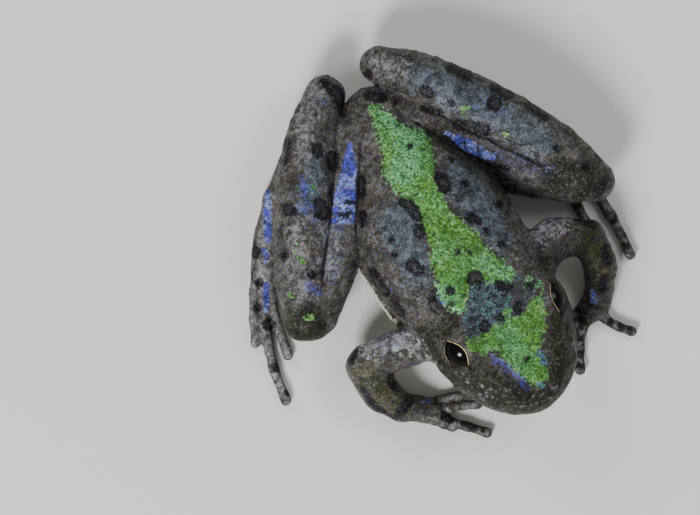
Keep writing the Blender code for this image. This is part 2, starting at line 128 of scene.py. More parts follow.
# How widely the skin is drawn across each part's joint, and how wide the crease is where it only lies
# against other parts.
BLENDS = {
    "upper_arm": (1.3, 0.35), "forearm": (0.9, 0.35), "thigh": (1.2, 0.18), "shank": (1.0, 0.28),
    "tarsus": (0.8, 0.30), "hand": (0.6, 0.30), "foot": (0.6, 0.30),
}
JOINT_SPREAD = 2.2
DIGIT_BLEND = 0.30
PART_MARGIN = 1.2
FLOOR_BLEND = 0.05
# Along a digit, as shares of its length: where its two joints and its pad are and how long each is. Then how
# much each swells, and the share of its given radius that the rest of the digit has.
DIGIT_JOINTS = (0.38, 0.70)
JOINT_LENGTH = 0.06
TIP_AT = 0.98
TIP_LENGTH = 0.07
JOINT_SWELLING = 0.13
TIP_SWELLING = 0.16
SLIMMING = 0.92

# Hands and feet: the palm or sole first, then one row of stations for each digit.
HANDS = {
    "hand_right": (
        ((20.95, -8.25, 1.00, 0.92), (21.8, -7.1, 0.62, 0.95), (22.4, -6.5, 0.50, 0.75)),
        ((21.5, -6.9, 0.45, 0.40), (21.9, -5.4, 0.38, 0.36), (22.3, -4.1, 0.33, 0.33)),
        ((22.0, -6.7, 0.45, 0.42), (22.8, -5.0, 0.38, 0.37), (23.5, -3.3, 0.33, 0.34)),
        ((22.2, -6.8, 0.45, 0.44), (23.8, -5.5, 0.38, 0.38), (25.6, -3.8, 0.33, 0.35)),
        ((22.2, -7.2, 0.45, 0.42), (23.2, -6.5, 0.38, 0.37), (24.0, -5.8, 0.33, 0.34)),
    ),
    "hand_left": (
        ((20.65, 8.4, 1.00, 0.90), (21.4, 7.8, 0.62, 1.05), (21.8, 7.0, 0.50, 0.75)),
        ((21.1, 7.0, 0.45, 0.40), (21.6, 5.6, 0.38, 0.36), (22.1, 4.5, 0.33, 0.33)),
        ((21.5, 6.9, 0.45, 0.42), (22.4, 5.3, 0.38, 0.37), (23.3, 3.9, 0.33, 0.34)),
        ((21.7, 7.0, 0.45, 0.44), (23.1, 5.5, 0.38, 0.38), (25.0, 4.4, 0.33, 0.35)),
        ((21.5, 7.6, 0.45, 0.42), (23.1, 8.0, 0.38, 0.37), (24.5, 9.1, 0.33, 0.34)),
    ),
}
FEET = {
    "foot_right": (
        ((3.5, -9.0, 0.75, 0.78), (5.6, -10.8, 0.60, 0.92), (7.4, -12.0, 0.50, 0.88)),
        ((5.2, -10.2, 0.45, 0.42), (6.9, -10.7, 0.38, 0.38), (8.3, -10.8, 0.33, 0.34)),
        ((5.8, -10.6, 0.45, 0.42), (8.4, -11.6, 0.40, 0.38), (10.9, -12.0, 0.33, 0.34)),
        ((6.2, -11.1, 0.45, 0.44), (10.0, -12.8, 0.42, 0.40), (13.6, -13.6, 0.33, 0.35)),
        ((6.4, -11.5, 0.45, 0.46), (10.8, -13.9, 0.45, 0.43), (13.8, -14.9, 0.40, 0.40),
         (16.4, -15.35, 0.33, 0.36)),
        ((6.2, -11.8, 0.45, 0.44), (9.2, -13.9, 0.42, 0.40), (11.7, -15.2, 0.33, 0.35)),
    ),
    "foot_left": (
        ((5.0, 7.6, 0.75, 0.80), (7.3, 8.9, 0.60, 0.95), (9.4, 9.9, 0.50, 0.90)),
        ((7.0, 8.4, 0.45, 0.42), (9.0, 8.5, 0.38, 0.38), (10.4, 8.2, 0.33, 0.34)),
        ((7.6, 8.9, 0.45, 0.42), (10.4, 9.2, 0.40, 0.38), (12.9, 9.0, 0.33, 0.34)),
        ((8.0, 9.3, 0.45, 0.44), (12.6, 10.1, 0.42, 0.40), (16.6, 10.2, 0.33, 0.35)),
        ((8.2, 9.7, 0.45, 0.46), (12.75, 11.5, 0.45, 0.43), (16.2, 11.95, 0.40, 0.40),
         (19.6, 11.8, 0.33, 0.36)),
        ((8.0, 10.0, 0.45, 0.44), (11.0, 11.6, 0.42, 0.40), (13.7, 12.9, 0.33, 0.35)),
    ),
}
# The web: how far out along the toes it reaches, and how far its edge sags back towards the root between
# two toes. Then its height, half its thickness, how far round it and how high it is worked out, and its
# blend with the foot.
WEB_REACH = 0.60
WEB_SAG = 0.21
WEB_UP = 0.28
WEB_HALF_THICKNESS = 0.21
WEB_MARGIN = 0.8
WEB_CEILING = 1.3
WEB_BLEND = 0.15

# The eyes: how far forward they are, the middle between them, half the way from one to the other, how high
# they are, their radius, and the way that the left one looks.
EYE_FORWARD = 19.29
EYE_MIDDLE = 0.12
EYE_LEFT = 3.46
EYE_UP = 7.35
EYE_RADIUS = 1.35
EYE_GAZE = (0.16, 0.77, 0.65)
# From an eye's middle: how far out the lids and their edge lie. Then the skin's depth under the eyeball.
LID_RADIUS = 1.62
LID_EDGE = 1.45
SOCKET_DEPTH = 0.12
# The opening between the lids: half its length, its height above and below, and the power of its curve.
OPENING_LONG = 1.19
OPENING_UPPER = 0.92
OPENING_LOWER = 0.90
OPENING_POWER = 2.2
# Out from the opening's outline: where the lids' edge starts and how wide it is, how wide their rise is, how
# far the lids reach and fade, and where their furrow lies, how wide and how deep.
EDGE_START = 0.05
EDGE_WIDTH = 0.13
LID_WIDTH = 0.50
LID_REACH = 0.40
LID_FADE = 0.32
FURROW_AT = 0.42
FURROW_WIDTH = 0.10
LID_FURROW = 0.035
# The dome that an eye raises on the head: how it joins the head, how far out it is shaped, and over what way
# the lids fade behind the eye's middle.
DOME_BLEND = 0.55
DOME_REACH = 2.6
FACING_FADE = 0.3
# The rim along the lids: how far it lies out from the eyeball, and how thick it is at the corners and along
# the lower lid against the upper one's middle.
RIM_OUT = 0.02
RIM_CORNER = 0.55
RIM_LOWER = 0.65
# How fast the rim brightens from the corners, and the glint on the lower lid: how bright, where and how long.
RIM_RISE = 6
RIM_GLINT = 0.6
RIM_GLINT_AT = 5.1
RIM_GLINT_WIDTH = 0.4

# The head's smaller forms, given for the left side and mirrored: forward, left, up and radius, then the
# blend with the head.
HEAD_RIDGES = (
    (((20.7, 3.0, 7.40, 0.55), (22.8, 2.2, 7.10, 0.50), (24.5, 1.25, 6.55, 0.40)), 0.7),
    (((18.2, 4.35, 7.2, 0.35), (17.1, 5.15, 6.6, 0.38), (16.4, 5.55, 5.3, 0.40)), 0.45),
    (((19.0, 4.95, 4.9, 0.38), (21.0, 4.62, 5.05, 0.38), (23.3, 3.48, 5.2, 0.36), (24.6, 2.20, 5.3, 0.32),
      (25.3, 1.10, 5.3, 0.28), (25.5, 0.00, 5.3, 0.28)), 0.45),
)
# The left nostril: its place, radius and rounding, and the radius, width and height of its brim.
NOSTRIL = (24.75, 1.15, 6.75)
NOSTRIL_RADIUS = 0.15
NOSTRIL_BLEND = 0.08
BRIM_RADIUS = 0.28
BRIM_WIDTH = 0.16
BRIM_HEIGHT = 0.10
# The left eardrum: its place, the radius, width and height of its ring, and its hollow's width and depth.
EARDRUM = (17.70, 5.12, 5.75)
EARDRUM_RADIUS = 0.62
RING_WIDTH = 0.13
RING_HEIGHT = 0.06
DRUM_WIDTH = 0.4
DRUM_DEPTH = 0.04
# How far round an eardrum the skin keeps the colour of the cheek on its lower side too, and how far it may
# count as facing down there.
DRUM_REACH = 1.25
DRUM_DOWN = -0.1
# The line of the mouth: its course, how deep and wide it is, over what way it starts at the back, and how far
# from the head's own surface it is drawn and fades.
MOUTH_FORWARD = (16.9, 17.6, 18.6, 20.0, 22.0, 24.0, 26.4)
MOUTH_UP = (3.55, 3.95, 4.25, 4.45, 4.62, 4.78, 4.92)
MOUTH_DEPTH = 0.16
MOUTH_WIDTH = 0.11
MOUTH_START = 0.8
MOUTH_REACH = 0.5
MOUTH_FADE = 0.3

# Folds of loose skin: along the lower flanks, and a short curved one beside a wart of the right nape.
FOLDS = (
    ((9.8, -6.10, 3.7, 0.06), (11.0, -6.42, 3.55, 0.16), (12.2, -6.32, 3.5, 0.18),
     (13.5, -6.27, 3.45, 0.18), (14.7, -6.14, 3.35, 0.17), (15.5, -5.95, 3.35, 0.15),
     (16.6, -5.60, 3.4, 0.06)),
    ((9.8, 4.80, 3.2, 0.06), (11.0, 5.15, 3.0, 0.15), (12.6, 5.28, 2.9, 0.18), (14.2, 5.25, 2.9, 0.18),
     (15.6, 5.05, 3.1, 0.15), (16.8, 4.80, 3.4, 0.06)),
    ((14.85, -3.15, 8.32, 0.06), (15.20, -3.58, 8.16, 0.13), (15.70, -3.75, 8.05, 0.13),
     (16.20, -3.60, 8.02, 0.06)),
)
FOLD_BLEND = 0.32

# Warts seen on the back: forward, left, up and radius. The height of a wart is a share of its radius.
WARTS = (
    (8.30, 1.36, 7.48, 0.60), (8.75, -1.68, 7.60, 0.50), (10.48, -1.92, 7.90, 0.50),
    (12.48, -3.45, 7.70, 0.58), (15.40, -0.28, 8.70, 0.52), (15.26, -3.64, 8.20, 0.42),
    (4.99, 0.69, 6.15, 0.38), (15.30, -2.33, 8.60, 0.36), (16.04, -1.62, 8.65, 0.24),
    (13.15, -0.46, 8.55, 0.34), (13.67, 0.31, 8.58, 0.24), (22.15, 0.28, 8.05, 0.30),
    (11.49, 1.67, 8.10, 0.50), (11.73, 4.09, 7.20, 0.42), (11.16, -4.26, 7.10, 0.32),
    (5.64, -3.57, 5.40, 0.40), (17.00, 1.20, 8.72, 0.40), (17.90, 2.10, 8.66, 0.34),
    (5.39, -1.69, 6.20, 0.30), (10.12, -3.96, 7.20, 0.36), (14.22, 2.64, 8.30, 0.40),
    (7.24, 2.76, 6.60, 0.34), (9.22, 2.60, 7.40, 0.38), (12.88, 2.14, 8.40, 0.34),
)
WART_HEIGHT = 0.30
# How far round its middle a wart is raised and how wide its bell is, in radii, and how much its height
# counts there.
WART_REACH = 2.5
WART_WIDTH = 0.62
WART_STRETCH = (1, 1, 0.5)
# Small warts: how many at most, how far apart, their least and greatest radius, the share of it on the limbs,
# and how far left or right the limbs begin.
SMALL_WARTS = 420
SMALL_WART_SPACING = 0.85
SMALL_WART_RADIUS = (0.16, 0.34)
LIMB_WART_SHARE = 0.6
LIMB_FROM = 6.0
WART_SEED = 11
# Where small warts may be: how far the skin has to face up there, how high and how far forward it is, and how
# far it is from the lids. Then how many places are tried.
WART_FACING = 0.1
WART_LOWEST = 2.2
WART_FRONT = 24.5
WART_FROM_LID = 0.5
WART_TRIES = 6000
# Slow unevenness of the skin: how many waves, how long they may be, and their height as a share of that.
# Then over what height above the floor and what way round the lids it fades.
WAVES = 40
WAVE_LENGTHS = (0.7, 2.2)
WAVE_HEIGHT = 0.0045
CALM_HEIGHT = 0.6
CALM_REACH = 0.8

# The net: its grid's lowest corner and size, how far its points move when it is evened out, and how far they
# are drawn back at most.
GRID_CORNER = (-3.26, -16.66, -0.56)
GRID_SIZE = (30.0, 31.0, 10.6)
SETTLE_SHARE = 0.5
SETTLE_REACH = 0.15
# Where it is made finer: on the head, from so far forward, within so far left and right and from so high; and
# so near to digits and folds, creases, and wedges.
FINE_HEAD = (16.6, 6.2, 2.6)
FINE_REACH = 0.35
FINE_CREASE = 0.30
FINE_WEDGE = 0.15
# Where it is made finer once more: from so far forward beside the mouth, and round lids and nostrils.
FINEST_FORWARD = 17.4
FINEST_MOUTH = 0.22
FINEST_LID = 0.25
FINEST_NOSTRIL = 0.6
# How triangles are split, by how many of their edges are halved. 0, 1 and 2 are the corners, and 3, 4 and 5
# the middles of the edges after them. The first halved edge behind a whole one comes first.
SPLITS = {
    0: ((0, 1, 2),),
    3: ((0, 3, 5), (3, 1, 4), (5, 4, 2), (3, 4, 5)),
    1: ((0, 3, 2), (3, 1, 2)),
    2: ((3, 1, 4), (0, 3, 2), (3, 4, 2)),
}

# Where thighs have creases: from so far forward to so far forward, and from so high. Then how far the limbs'
# boxes are widened, and how far the wedges stay out of the creases.
CREASE_BACK = 2.6
CREASE_FRONT = 11.0
CREASE_BOTTOM = 3.0
LIMB_MARGIN = 0.4
WEDGE_GAP = 0.12

# Markings, as strokes of a round brush: forward, left, up and radius. They are measured as seen from above,
# so their height only says which of two surfaces, one over the other, they lie on.
VIEW_LEAN = tan(radians(8))
HEIGHT_SHARE = 0.35
MARK_REACH = 1.6
# The green band with its fork on the nape, the green of the snout, and specks on temple and legs.
GREEN_MARKS = (
    ((1.33, 0.11, 4.54, 0.43), (2.68, 0.07, 5.23, 0.79), (4.28, 0.05, 5.95, 1.29),
     (5.07, 0.38, 6.26, 1.80), (6.26, -0.20, 6.80, 1.82), (7.31, -0.43, 7.19, 1.43),
     (8.85, -0.39, 7.68, 1.07), (10.33, -0.44, 8.04, 1.14), (11.77, -0.40, 8.32, 1.43),
     (13.25, -0.28, 8.56, 1.80), (14.30, 0.11, 8.65, 1.50), (15.30, 1.01, 8.67, 1.00),
     (16.30, 1.78, 8.59, 0.64)),
    ((13.28, -1.11, 8.50, 1.43), (14.30, -1.77, 8.50, 0.95), (15.38, -2.05, 8.45, 1.07),
     (16.23, -2.28, 8.40, 0.71)),
    ((19.28, -2.81, 8.25, 0.43), (19.75, -2.27, 8.35, 0.57), (19.86, -1.36, 8.45, 0.71),
     (20.19, -0.48, 8.50, 1.20), (20.53, 0.56, 8.45, 1.43), (20.30, 1.60, 8.40, 0.95),
     (19.40, 2.50, 8.30, 0.60)),
    ((20.98, -0.08, 8.40, 1.43), (22.14, 0.12, 8.05, 1.20), (23.36, 0.31, 7.60, 0.85),
     (24.18, 0.07, 7.20, 0.30)),
    ((17.80, 3.51, 8.00, 0.21), (18.43, 3.44, 8.10, 0.25), (18.95, 2.95, 8.30, 0.36),
     (19.60, 2.60, 8.30, 0.50)),
    ((18.60, 0.55, 8.66, 0.22), (18.85, -0.15, 8.64, 0.20)),
    ((17.70, 2.75, 8.40, 0.20), (17.35, 3.30, 8.10, 0.18)), ((4.12, -6.95, 5.3, 0.29),),
    ((3.48, -7.65, 5.2, 0.14),), ((7.01, -9.56, 5.3, 0.16),),
    ((7.72, -10.04, 5.2, 0.14), (8.33, -9.98, 5.2, 0.21)), ((10.04, -11.76, 4.8, 0.16),),
    ((12.10, -11.44, 4.4, 0.29),), ((4.58, 5.52, 5.8, 0.29),), ((7.52, 7.39, 5.6, 0.21),),
)
# The dark patch between the eyes, with its arms.
PATCH_MARKS = (
    ((15.82, -0.27, 8.72, 0.64), (16.60, 0.45, 8.72, 0.72), (17.33, 1.10, 8.70, 0.86),
     (18.10, 1.85, 8.65, 0.78)),
    ((15.82, -0.27, 8.72, 0.64), (16.60, -0.75, 8.72, 0.72), (17.26, -0.92, 8.70, 1.00),
     (18.40, -1.80, 8.60, 0.80)),
    ((17.10, 0.10, 8.70, 1.00), (17.90, 0.15, 8.70, 1.05)),
    ((18.90, -2.50, 8.4, 0.45), (19.00, -2.00, 8.5, 0.45)),
    ((17.30, -1.90, 8.3, 0.45), (18.28, -2.25, 8.3, 0.50), (18.75, -1.71, 8.4, 0.45)),
    ((16.50, 1.40, 8.60, 0.40), (17.20, 2.30, 8.50, 0.45), (17.90, 2.80, 8.50, 0.45)),
)
# The patch's russet middle.
RUSSET_MARKS = (
    ((17.10, 1.80, 8.60, 0.55), (17.90, 2.30, 8.50, 0.60), (18.30, 1.70, 8.50, 0.50)),
)
# Olive tints of snout, knees, temple, cheeks, left forearm and left flank.
OLIVE_MARKS = (
    ((19.4, -4.70, 6.2, 0.80), (21.0, -3.90, 6.6, 1.20), (22.8, -2.90, 6.6, 1.40),
     (24.3, -1.60, 6.3, 1.30), (25.2, 0.30, 5.8, 0.90), (24.4, 2.10, 6.3, 1.20),
     (22.8, 3.20, 6.6, 1.30), (21.0, 4.00, 6.7, 1.20), (19.4, 4.90, 6.2, 0.80)),
    ((12.8, -12.0, 3.8, 1.60), (12.0, -11.5, 4.1, 1.20)),
    ((13.2, 10.8, 3.6, 1.40), (11.8, 9.4, 3.8, 1.20)),
    ((16.0, -3.3, 8.2, 0.50), (17.0, -3.1, 8.3, 0.70), (17.6, -4.2, 7.6, 0.60)),
    ((16.8, -5.1, 6.2, 0.50), (17.8, -5.1, 6.2, 0.70), (18.4, -4.9, 6.0, 0.50)),
    ((17.0, 5.1, 6.2, 0.50), (18.4, 4.9, 6.0, 0.60)),
    ((16.9, 9.2, 3.6, 0.80), (19.0, 9.15, 3.1, 0.90), (20.3, 8.4, 2.0, 0.60)),
    ((5.0, 3.0, 5.0, 0.50), (8.5, 4.7, 5.0, 0.70), (11.5, 5.3, 5.2, 0.60)),
)
# Dark spots of head, back and flanks, and the bars of arms, legs and digits.
DARK_MARKS = (
    ((7.85, 1.31, 7.50, 0.44), (8.30, 1.30, 7.60, 0.52), (8.75, 1.22, 7.70, 0.44)),
    ((8.10, -1.95, 7.40, 0.34), (8.70, -1.66, 7.70, 0.46), (9.40, -1.60, 7.80, 0.44),
     (9.80, -1.50, 7.80, 0.30)),
    ((10.40, -1.90, 7.90, 0.42), (10.73, -2.08, 8.00, 0.42)),
    ((12.40, -3.60, 7.70, 0.52), (12.90, -3.42, 7.80, 0.50)), ((15.40, -0.28, 8.70, 0.62),),
    ((15.26, -3.64, 8.20, 0.30),), ((4.99, 0.69, 6.15, 0.26),), ((15.28, -2.27, 8.60, 0.36),),
    ((16.11, -1.62, 8.65, 0.22),), ((16.14, -2.66, 8.40, 0.24),), ((13.15, -0.46, 8.55, 0.26),),
    ((13.67, 0.31, 8.58, 0.18),),
    ((16.60, 0.91, 8.70, 0.34), (16.92, 1.21, 8.70, 0.42), (17.25, 1.57, 8.60, 0.30)),
    ((17.79, 2.92, 8.50, 0.34),), ((18.79, 1.26, 8.60, 0.38), (18.50, 1.60, 8.60, 0.26)),
    ((18.73, -0.09, 8.60, 0.34),), ((18.71, -1.37, 8.50, 0.46),), ((22.20, 0.15, 8.05, 0.26),),
    ((11.49, 1.67, 8.10, 0.40), (12.00, 2.00, 8.15, 0.34)), ((11.73, 4.09, 7.20, 0.40),),
    ((11.16, -4.26, 7.10, 0.29),), ((0.30, 0.30, 3.80, 0.40), (0.97, 1.05, 4.00, 0.42)),
    ((1.7, 1.6, 4.2, 0.30),), ((5.30, -3.45, 5.40, 0.40), (6.26, -3.94, 5.40, 0.34)),
    ((7.54, -4.61, 5.60, 0.36), (8.1, -4.95, 5.60, 0.26)),
    ((11.50, -6.00, 5.30, 0.45), (12.40, -6.05, 5.30, 0.50), (13.20, -5.90, 5.50, 0.40)),
    ((14.10, -5.70, 5.50, 0.42), (14.90, -5.75, 5.70, 0.45)), ((12.88, 2.14, 8.30, 0.26),),
    ((14.22, 2.64, 8.20, 0.34),), ((7.24, 2.76, 6.60, 0.26),), ((9.22, 2.60, 7.40, 0.30),),
    ((10.12, -3.96, 7.40, 0.26),), ((5.90, -3.80, 5.50, 0.20),),
    ((14.70, -3.32, 8.3, 0.08), (15.10, -3.86, 8.2, 0.12), (15.70, -4.04, 8.0, 0.13),
     (16.25, -3.85, 8.1, 0.12)),
    ((-1.30, 3.45, 3.2, 0.45), (-0.40, 4.35, 3.6, 0.48)),
    ((1.55, 6.35, 4.2, 0.50), (2.55, 7.05, 4.4, 0.55)),
    ((4.35, 8.35, 4.6, 0.55), (5.25, 8.95, 4.6, 0.50)), ((-1.05, 1.01, 3.8, 0.43),),
    ((2.00, 3.81, 5.3, 0.46), (2.35, 4.00, 5.3, 0.42)), ((3.70, 5.00, 5.4, 0.30),),
    ((2.90, 3.05, 5.0, 0.28), (3.90, 3.90, 5.0, 0.34)),
    ((5.28, 4.67, 5.2, 0.43), (6.53, 6.02, 5.3, 0.60)), ((5.29, 7.62, 5.8, 0.60),),
    ((6.75, 9.95, 4.5, 0.50), (7.85, 10.55, 4.4, 0.50)), ((9.60, 11.40, 4.2, 0.40),),
    ((12.40, 11.33, 4.6, 0.43),), ((10.28, 10.06, 5.3, 0.36),),
    ((13.90, 12.10, 3.4, 0.50), (14.40, 11.50, 3.2, 0.55)),
    ((7.60, 4.30, 4.9, 0.14), (8.70, 5.10, 4.9, 0.20), (9.90, 6.30, 4.9, 0.18)),
    ((-2.10, -1.97, 3.4, 0.36), (-0.67, -1.62, 3.9, 0.55), (0.37, -1.96, 4.2, 0.40)),
    ((-1.50, -4.69, 3.6, 0.36),), ((1.77, -5.01, 5.0, 0.46), (2.20, -5.14, 5.0, 0.40)),
    ((2.94, -4.39, 4.9, 0.56), (3.50, -4.60, 4.9, 0.40)),
    ((5.30, -6.85, 5.0, 0.50), (5.96, -6.95, 5.0, 0.62)),
    ((4.60, -9.00, 5.1, 0.50), (5.03, -8.69, 5.0, 0.40)),
    ((0.35, -6.55, 3.8, 0.45), (1.35, -7.35, 4.0, 0.50)), ((9.46, -9.87, 5.0, 0.36),),
    ((12.50, -12.49, 3.6, 0.36),), ((7.30, -10.79, 4.6, 0.36),),
    ((6.12, -5.13, 4.9, 0.21), (6.47, -4.65, 4.9, 0.22)), ((5.82, -5.95, 4.8, 0.13),),
    ((6.62, -5.93, 4.9, 0.17), (7.00, -5.65, 4.9, 0.22), (7.01, -5.13, 4.9, 0.19)),
    ((4.60, -5.35, 4.7, 0.20), (5.20, -5.85, 4.7, 0.24)),
    ((6.60, 4.50, 4.9, 0.12), (7.10, 4.40, 4.9, 0.12)),
    ((7.30, 5.20, 4.9, 0.14), (7.90, 5.00, 4.9, 0.14)),
    ((18.60, -8.25, 3.0, 0.34), (19.50, -8.35, 2.8, 0.34)),
    ((20.55, -7.45, 2.0, 0.34), (20.95, -8.25, 2.2, 0.38)),
    ((15.70, -9.75, 3.0, 0.40), (16.28, -10.12, 2.8, 0.34)),
    ((20.95, -8.25, 2.2, 0.38), (21.20, -9.15, 1.5, 0.34)),
    ((18.32, 9.88, 3.0, 0.42), (19.20, 9.60, 2.9, 0.36)),
    ((20.10, 9.00, 2.0, 0.45), (20.7, 8.4, 1.8, 0.40)),
    ((16.30, 10.00, 2.9, 0.50), (15.40, 9.20, 3.4, 0.40)), ((2.42, -9.68, 0.9, 0.36),),
    ((4.57, -10.24, 0.9, 0.26),), ((6.02, -12.04, 0.9, 0.50),), ((8.09, -12.88, 0.9, 0.36),),
    ((9.58, -13.88, 0.8, 0.36),), ((11.06, -13.73, 0.8, 0.50),), ((14.06, -14.68, 0.5, 0.43),),
    ((15.94, -14.95, 0.4, 0.29),), ((23.00, -6.00, 0.8, 0.34), (23.45, -5.68, 0.6, 0.36)),
    ((24.25, -4.90, 0.6, 0.32), (24.80, -4.40, 0.5, 0.30)), ((25.30, -4.02, 0.5, 0.20),),
    ((18.40, -10.35, 2.6, 0.24), (19.20, -10.30, 2.5, 0.30), (20.10, -10.00, 2.0, 0.34),
     (20.90, -9.40, 1.3, 0.34)),
)
# Dark bands that the photograph hides: on which digits, where along them, and how wide.
BAND_DIGITS = ("foot_digit_left", "hand_digit_left")
BAND_PLACES = (0.22, 0.50, 0.76, 0.96)
BAND_RADIUS = 0.30
# Violet wedges of painted sheen on the thighs, between body and shank.
SHEEN_WEDGE_MARKS = (
    ((2.66, -2.72, 4.7, 0.14), (3.69, -3.35, 4.8, 0.42), (4.70, -4.01, 4.8, 0.64),
     (5.69, -4.71, 4.8, 0.82), (6.40, -5.33, 4.8, 0.98)),
    ((6.74, -6.61, 4.6, 0.24), (7.12, -6.02, 4.7, 0.28), (7.55, -5.20, 4.8, 0.26)),
    ((5.20, 3.60, 4.6, 0.12), (6.14, 4.15, 4.8, 0.32), (7.03, 4.65, 4.9, 0.46), (7.85, 5.20, 4.9, 0.40),
     (8.60, 5.80, 4.9, 0.20)),
)
# Thin blue lines and specks of painted sheen on snout, left temple, right nape and flank, and right shank.
BLUE_SHEEN_MARKS = (
    ((20.75, -1.95, 8.2, 0.12), (21.58, -1.62, 8.1, 0.22), (22.30, -1.15, 7.95, 0.20),
     (22.92, -1.05, 7.8, 0.17), (23.52, -0.85, 7.5, 0.15), (24.01, -0.70, 7.2, 0.12)),
    ((22.30, 1.20, 8.0, 0.14), (23.03, 1.25, 7.7, 0.16)), ((24.30, 0.20, 7.1, 0.16),),
    ((18.61, 3.00, 8.2, 0.16), (19.02, 3.40, 8.0, 0.18)),
    ((15.27, -3.00, 8.4, 0.12), (15.72, -3.20, 8.3, 0.14)),
    ((3.20, -7.10, 5.4, 0.26), (4.00, -7.30, 5.6, 0.34)), ((13.20, -5.55, 6.0, 0.18),),
    ((4.85, -8.44, 5.6, 0.28), (5.08, -7.77, 5.6, 0.30), (5.22, -7.32, 5.5, 0.26)),
    ((9.97, -10.46, 5.1, 0.26), (10.35, -10.28, 5.1, 0.32), (10.80, -10.15, 5.0, 0.26)),
)
# Where the green is deeper.
DEEP_MARKS = (
    ((11.80, -0.40, 8.3, 0.80), (13.40, -0.20, 8.5, 1.20), (14.60, -1.50, 8.6, 1.00)),
    ((19.50, -2.20, 8.3, 0.60), (20.20, -0.60, 8.4, 1.00), (22.60, 0.20, 7.8, 1.00),
     (24.20, 0.20, 7.1, 0.60)),
    ((18.60, 3.30, 8.1, 0.40), (20.30, 1.60, 8.4, 0.90)),
)
# Violet painted sheen of the right foot and of both hands.
VIOLET_SHEEN_MARKS = (
    ((2.70, -9.19, 1.3, 0.21), (4.48, -10.11, 1.1, 0.34), (5.61, -10.74, 1.0, 0.34)),
    ((6.25, -11.35, 1.0, 0.29), (7.03, -11.71, 0.9, 0.21)),
    ((8.46, -12.51, 0.9, 0.22), (10.15, -13.46, 0.8, 0.18)),
    ((20.60, 7.85, 1.5, 0.26), (21.10, 7.60, 1.3, 0.28)),
    ((21.36, -7.03, 1.3, 0.14), (21.64, -5.98, 1.2, 0.10)),
    ((22.21, -7.22, 1.0, 0.10), (22.52, -6.82, 1.0, 0.10)),
)
# Where violet speckles of painted sheen are strewn: thighs, shanks, right heel and upper arms.
SHEEN_SPECKLE_MARKS = (
    ((7.60, -6.60, 4.8, 0.55), (8.90, -7.60, 4.8, 0.60), (10.2, -8.50, 4.6, 0.50)),
    ((8.40, 5.90, 4.9, 0.60), (10.20, 7.60, 4.9, 0.50), (11.6, 8.90, 4.7, 0.35)),
    ((15.99, -7.73, 4.4, 0.50), (16.62, -6.63, 4.7, 0.50)),
    ((15.10, 6.40, 4.9, 0.55), (14.70, 7.30, 4.6, 0.45)), ((-0.9, -2.8, 4.1, 0.30),),
    ((4.6, -7.2, 5.4, 0.35), (6.1, -8.0, 5.4, 0.50)), ((4.6, 6.5, 5.8, 0.30), (6.2, 8.3, 5.8, 0.25)),
    ((1.6, 4.4, 5.3, 0.30),),
)
# Bluish grey fields of back, nape and shanks.
SLATE_MARKS = (
    ((9.46, -2.92, 7.6, 1.50), (11.37, -3.22, 7.7, 1.20), (13.3, -3.6, 7.9, 0.9)),
    ((8.60, 2.50, 7.2, 1.00), (10.40, 2.60, 7.6, 1.30), (12.27, 2.40, 8.0, 1.20),
     (13.8, 2.6, 8.2, 0.9)),
    ((16.60, 0.10, 8.7, 1.40), (18.20, 0.10, 8.7, 1.60)),
    ((1.0, 4.0, 5.1, 0.9), (5.2, 6.9, 5.8, 1.2), (9.5, 9.3, 5.4, 0.9)),
    ((5.2, -7.6, 5.4, 0.8), (2.0, -5.2, 5.0, 0.5)),
)
# Pale upper arms, and the pale streak from the right one forward under the cheek.
PALE_MARKS = (
    ((16.03, -8.80, 3.7, 0.55), (16.24, -7.80, 4.4, 0.75), (16.76, -6.56, 4.8, 0.75),
     (17.62, -5.80, 4.4, 0.60)),
    ((17.62, -5.80, 3.8, 0.50), (18.72, -5.45, 3.9, 0.42), (19.30, -5.20, 4.0, 0.30)),
    ((15.20, 5.70, 5.0, 0.55), (14.90, 6.90, 4.9, 0.65), (15.10, 7.90, 4.7, 0.45)),
)
# A painted highlight along the edge of the fold on the right flank.
SEAM_HIGHLIGHT_MARKS = (
    ((10.80, -6.52, 3.60, 0.06), (11.20, -6.54, 3.60, 0.11), (12.20, -6.44, 3.55, 0.12),
     (13.50, -6.39, 3.50, 0.12), (14.70, -6.26, 3.40, 0.11), (15.50, -6.06, 3.40, 0.06)),
)
# Where pale round freckles lie on the snout.
FRECKLE_MARKS = (
    ((20.4, -4.30, 6.1, 0.45), (22.2, -3.70, 6.2, 0.80), (23.7, -2.80, 6.2, 0.90),
     (24.8, -1.50, 6.1, 0.80), (25.3, 0.20, 5.8, 0.70), (25.0, 1.50, 5.9, 0.60)),
)
# Where the green is bluish.
MINT_MARKS = (
    ((1.83, 0.25, 5.0, 0.30), (3.94, 0.99, 6.0, 0.80), (5.26, 0.41, 6.5, 1.20),
     (6.54, -1.06, 6.9, 0.80)),
    ((15.02, -2.62, 8.6, 0.50), (16.00, -2.49, 8.6, 0.50)),
    ((14.80, 0.60, 8.6, 0.40), (16.30, 1.80, 8.5, 0.50)),
    ((19.60, -0.42, 8.2, 0.30), (20.26, -0.21, 8.2, 0.60), (21.43, -0.15, 8.0, 0.60),
     (22.40, 0.01, 7.6, 0.40)),
    ((17.74, 3.54, 8.0, 0.30),),
)
# Lighter grey of both heels, and of the right thigh and shank.
ASH_MARKS = (
    ((-2.50, -2.70, 3.9, 0.60), (-1.39, -3.73, 4.4, 0.80), (-0.48, -4.64, 4.8, 0.70),
     (1.50, -5.80, 5.0, 0.50)),
    ((5.00, -8.80, 5.3, 0.40), (10.40, -11.00, 4.9, 0.80)),
    ((-1.60, 1.90, 3.9, 0.50), (-0.40, 3.00, 4.6, 0.60)),
    ((7.60, -7.40, 4.8, 0.60), (9.60, -8.60, 4.7, 0.60)),
)
# How much of a forearm's radius its olive tint reaches.
FOREARM_SHARE = 0.6
# How much of a digit's radius its lighter tint reaches.
DIGIT_SHARE = 0.8
FINGER_SHARE = 0.45
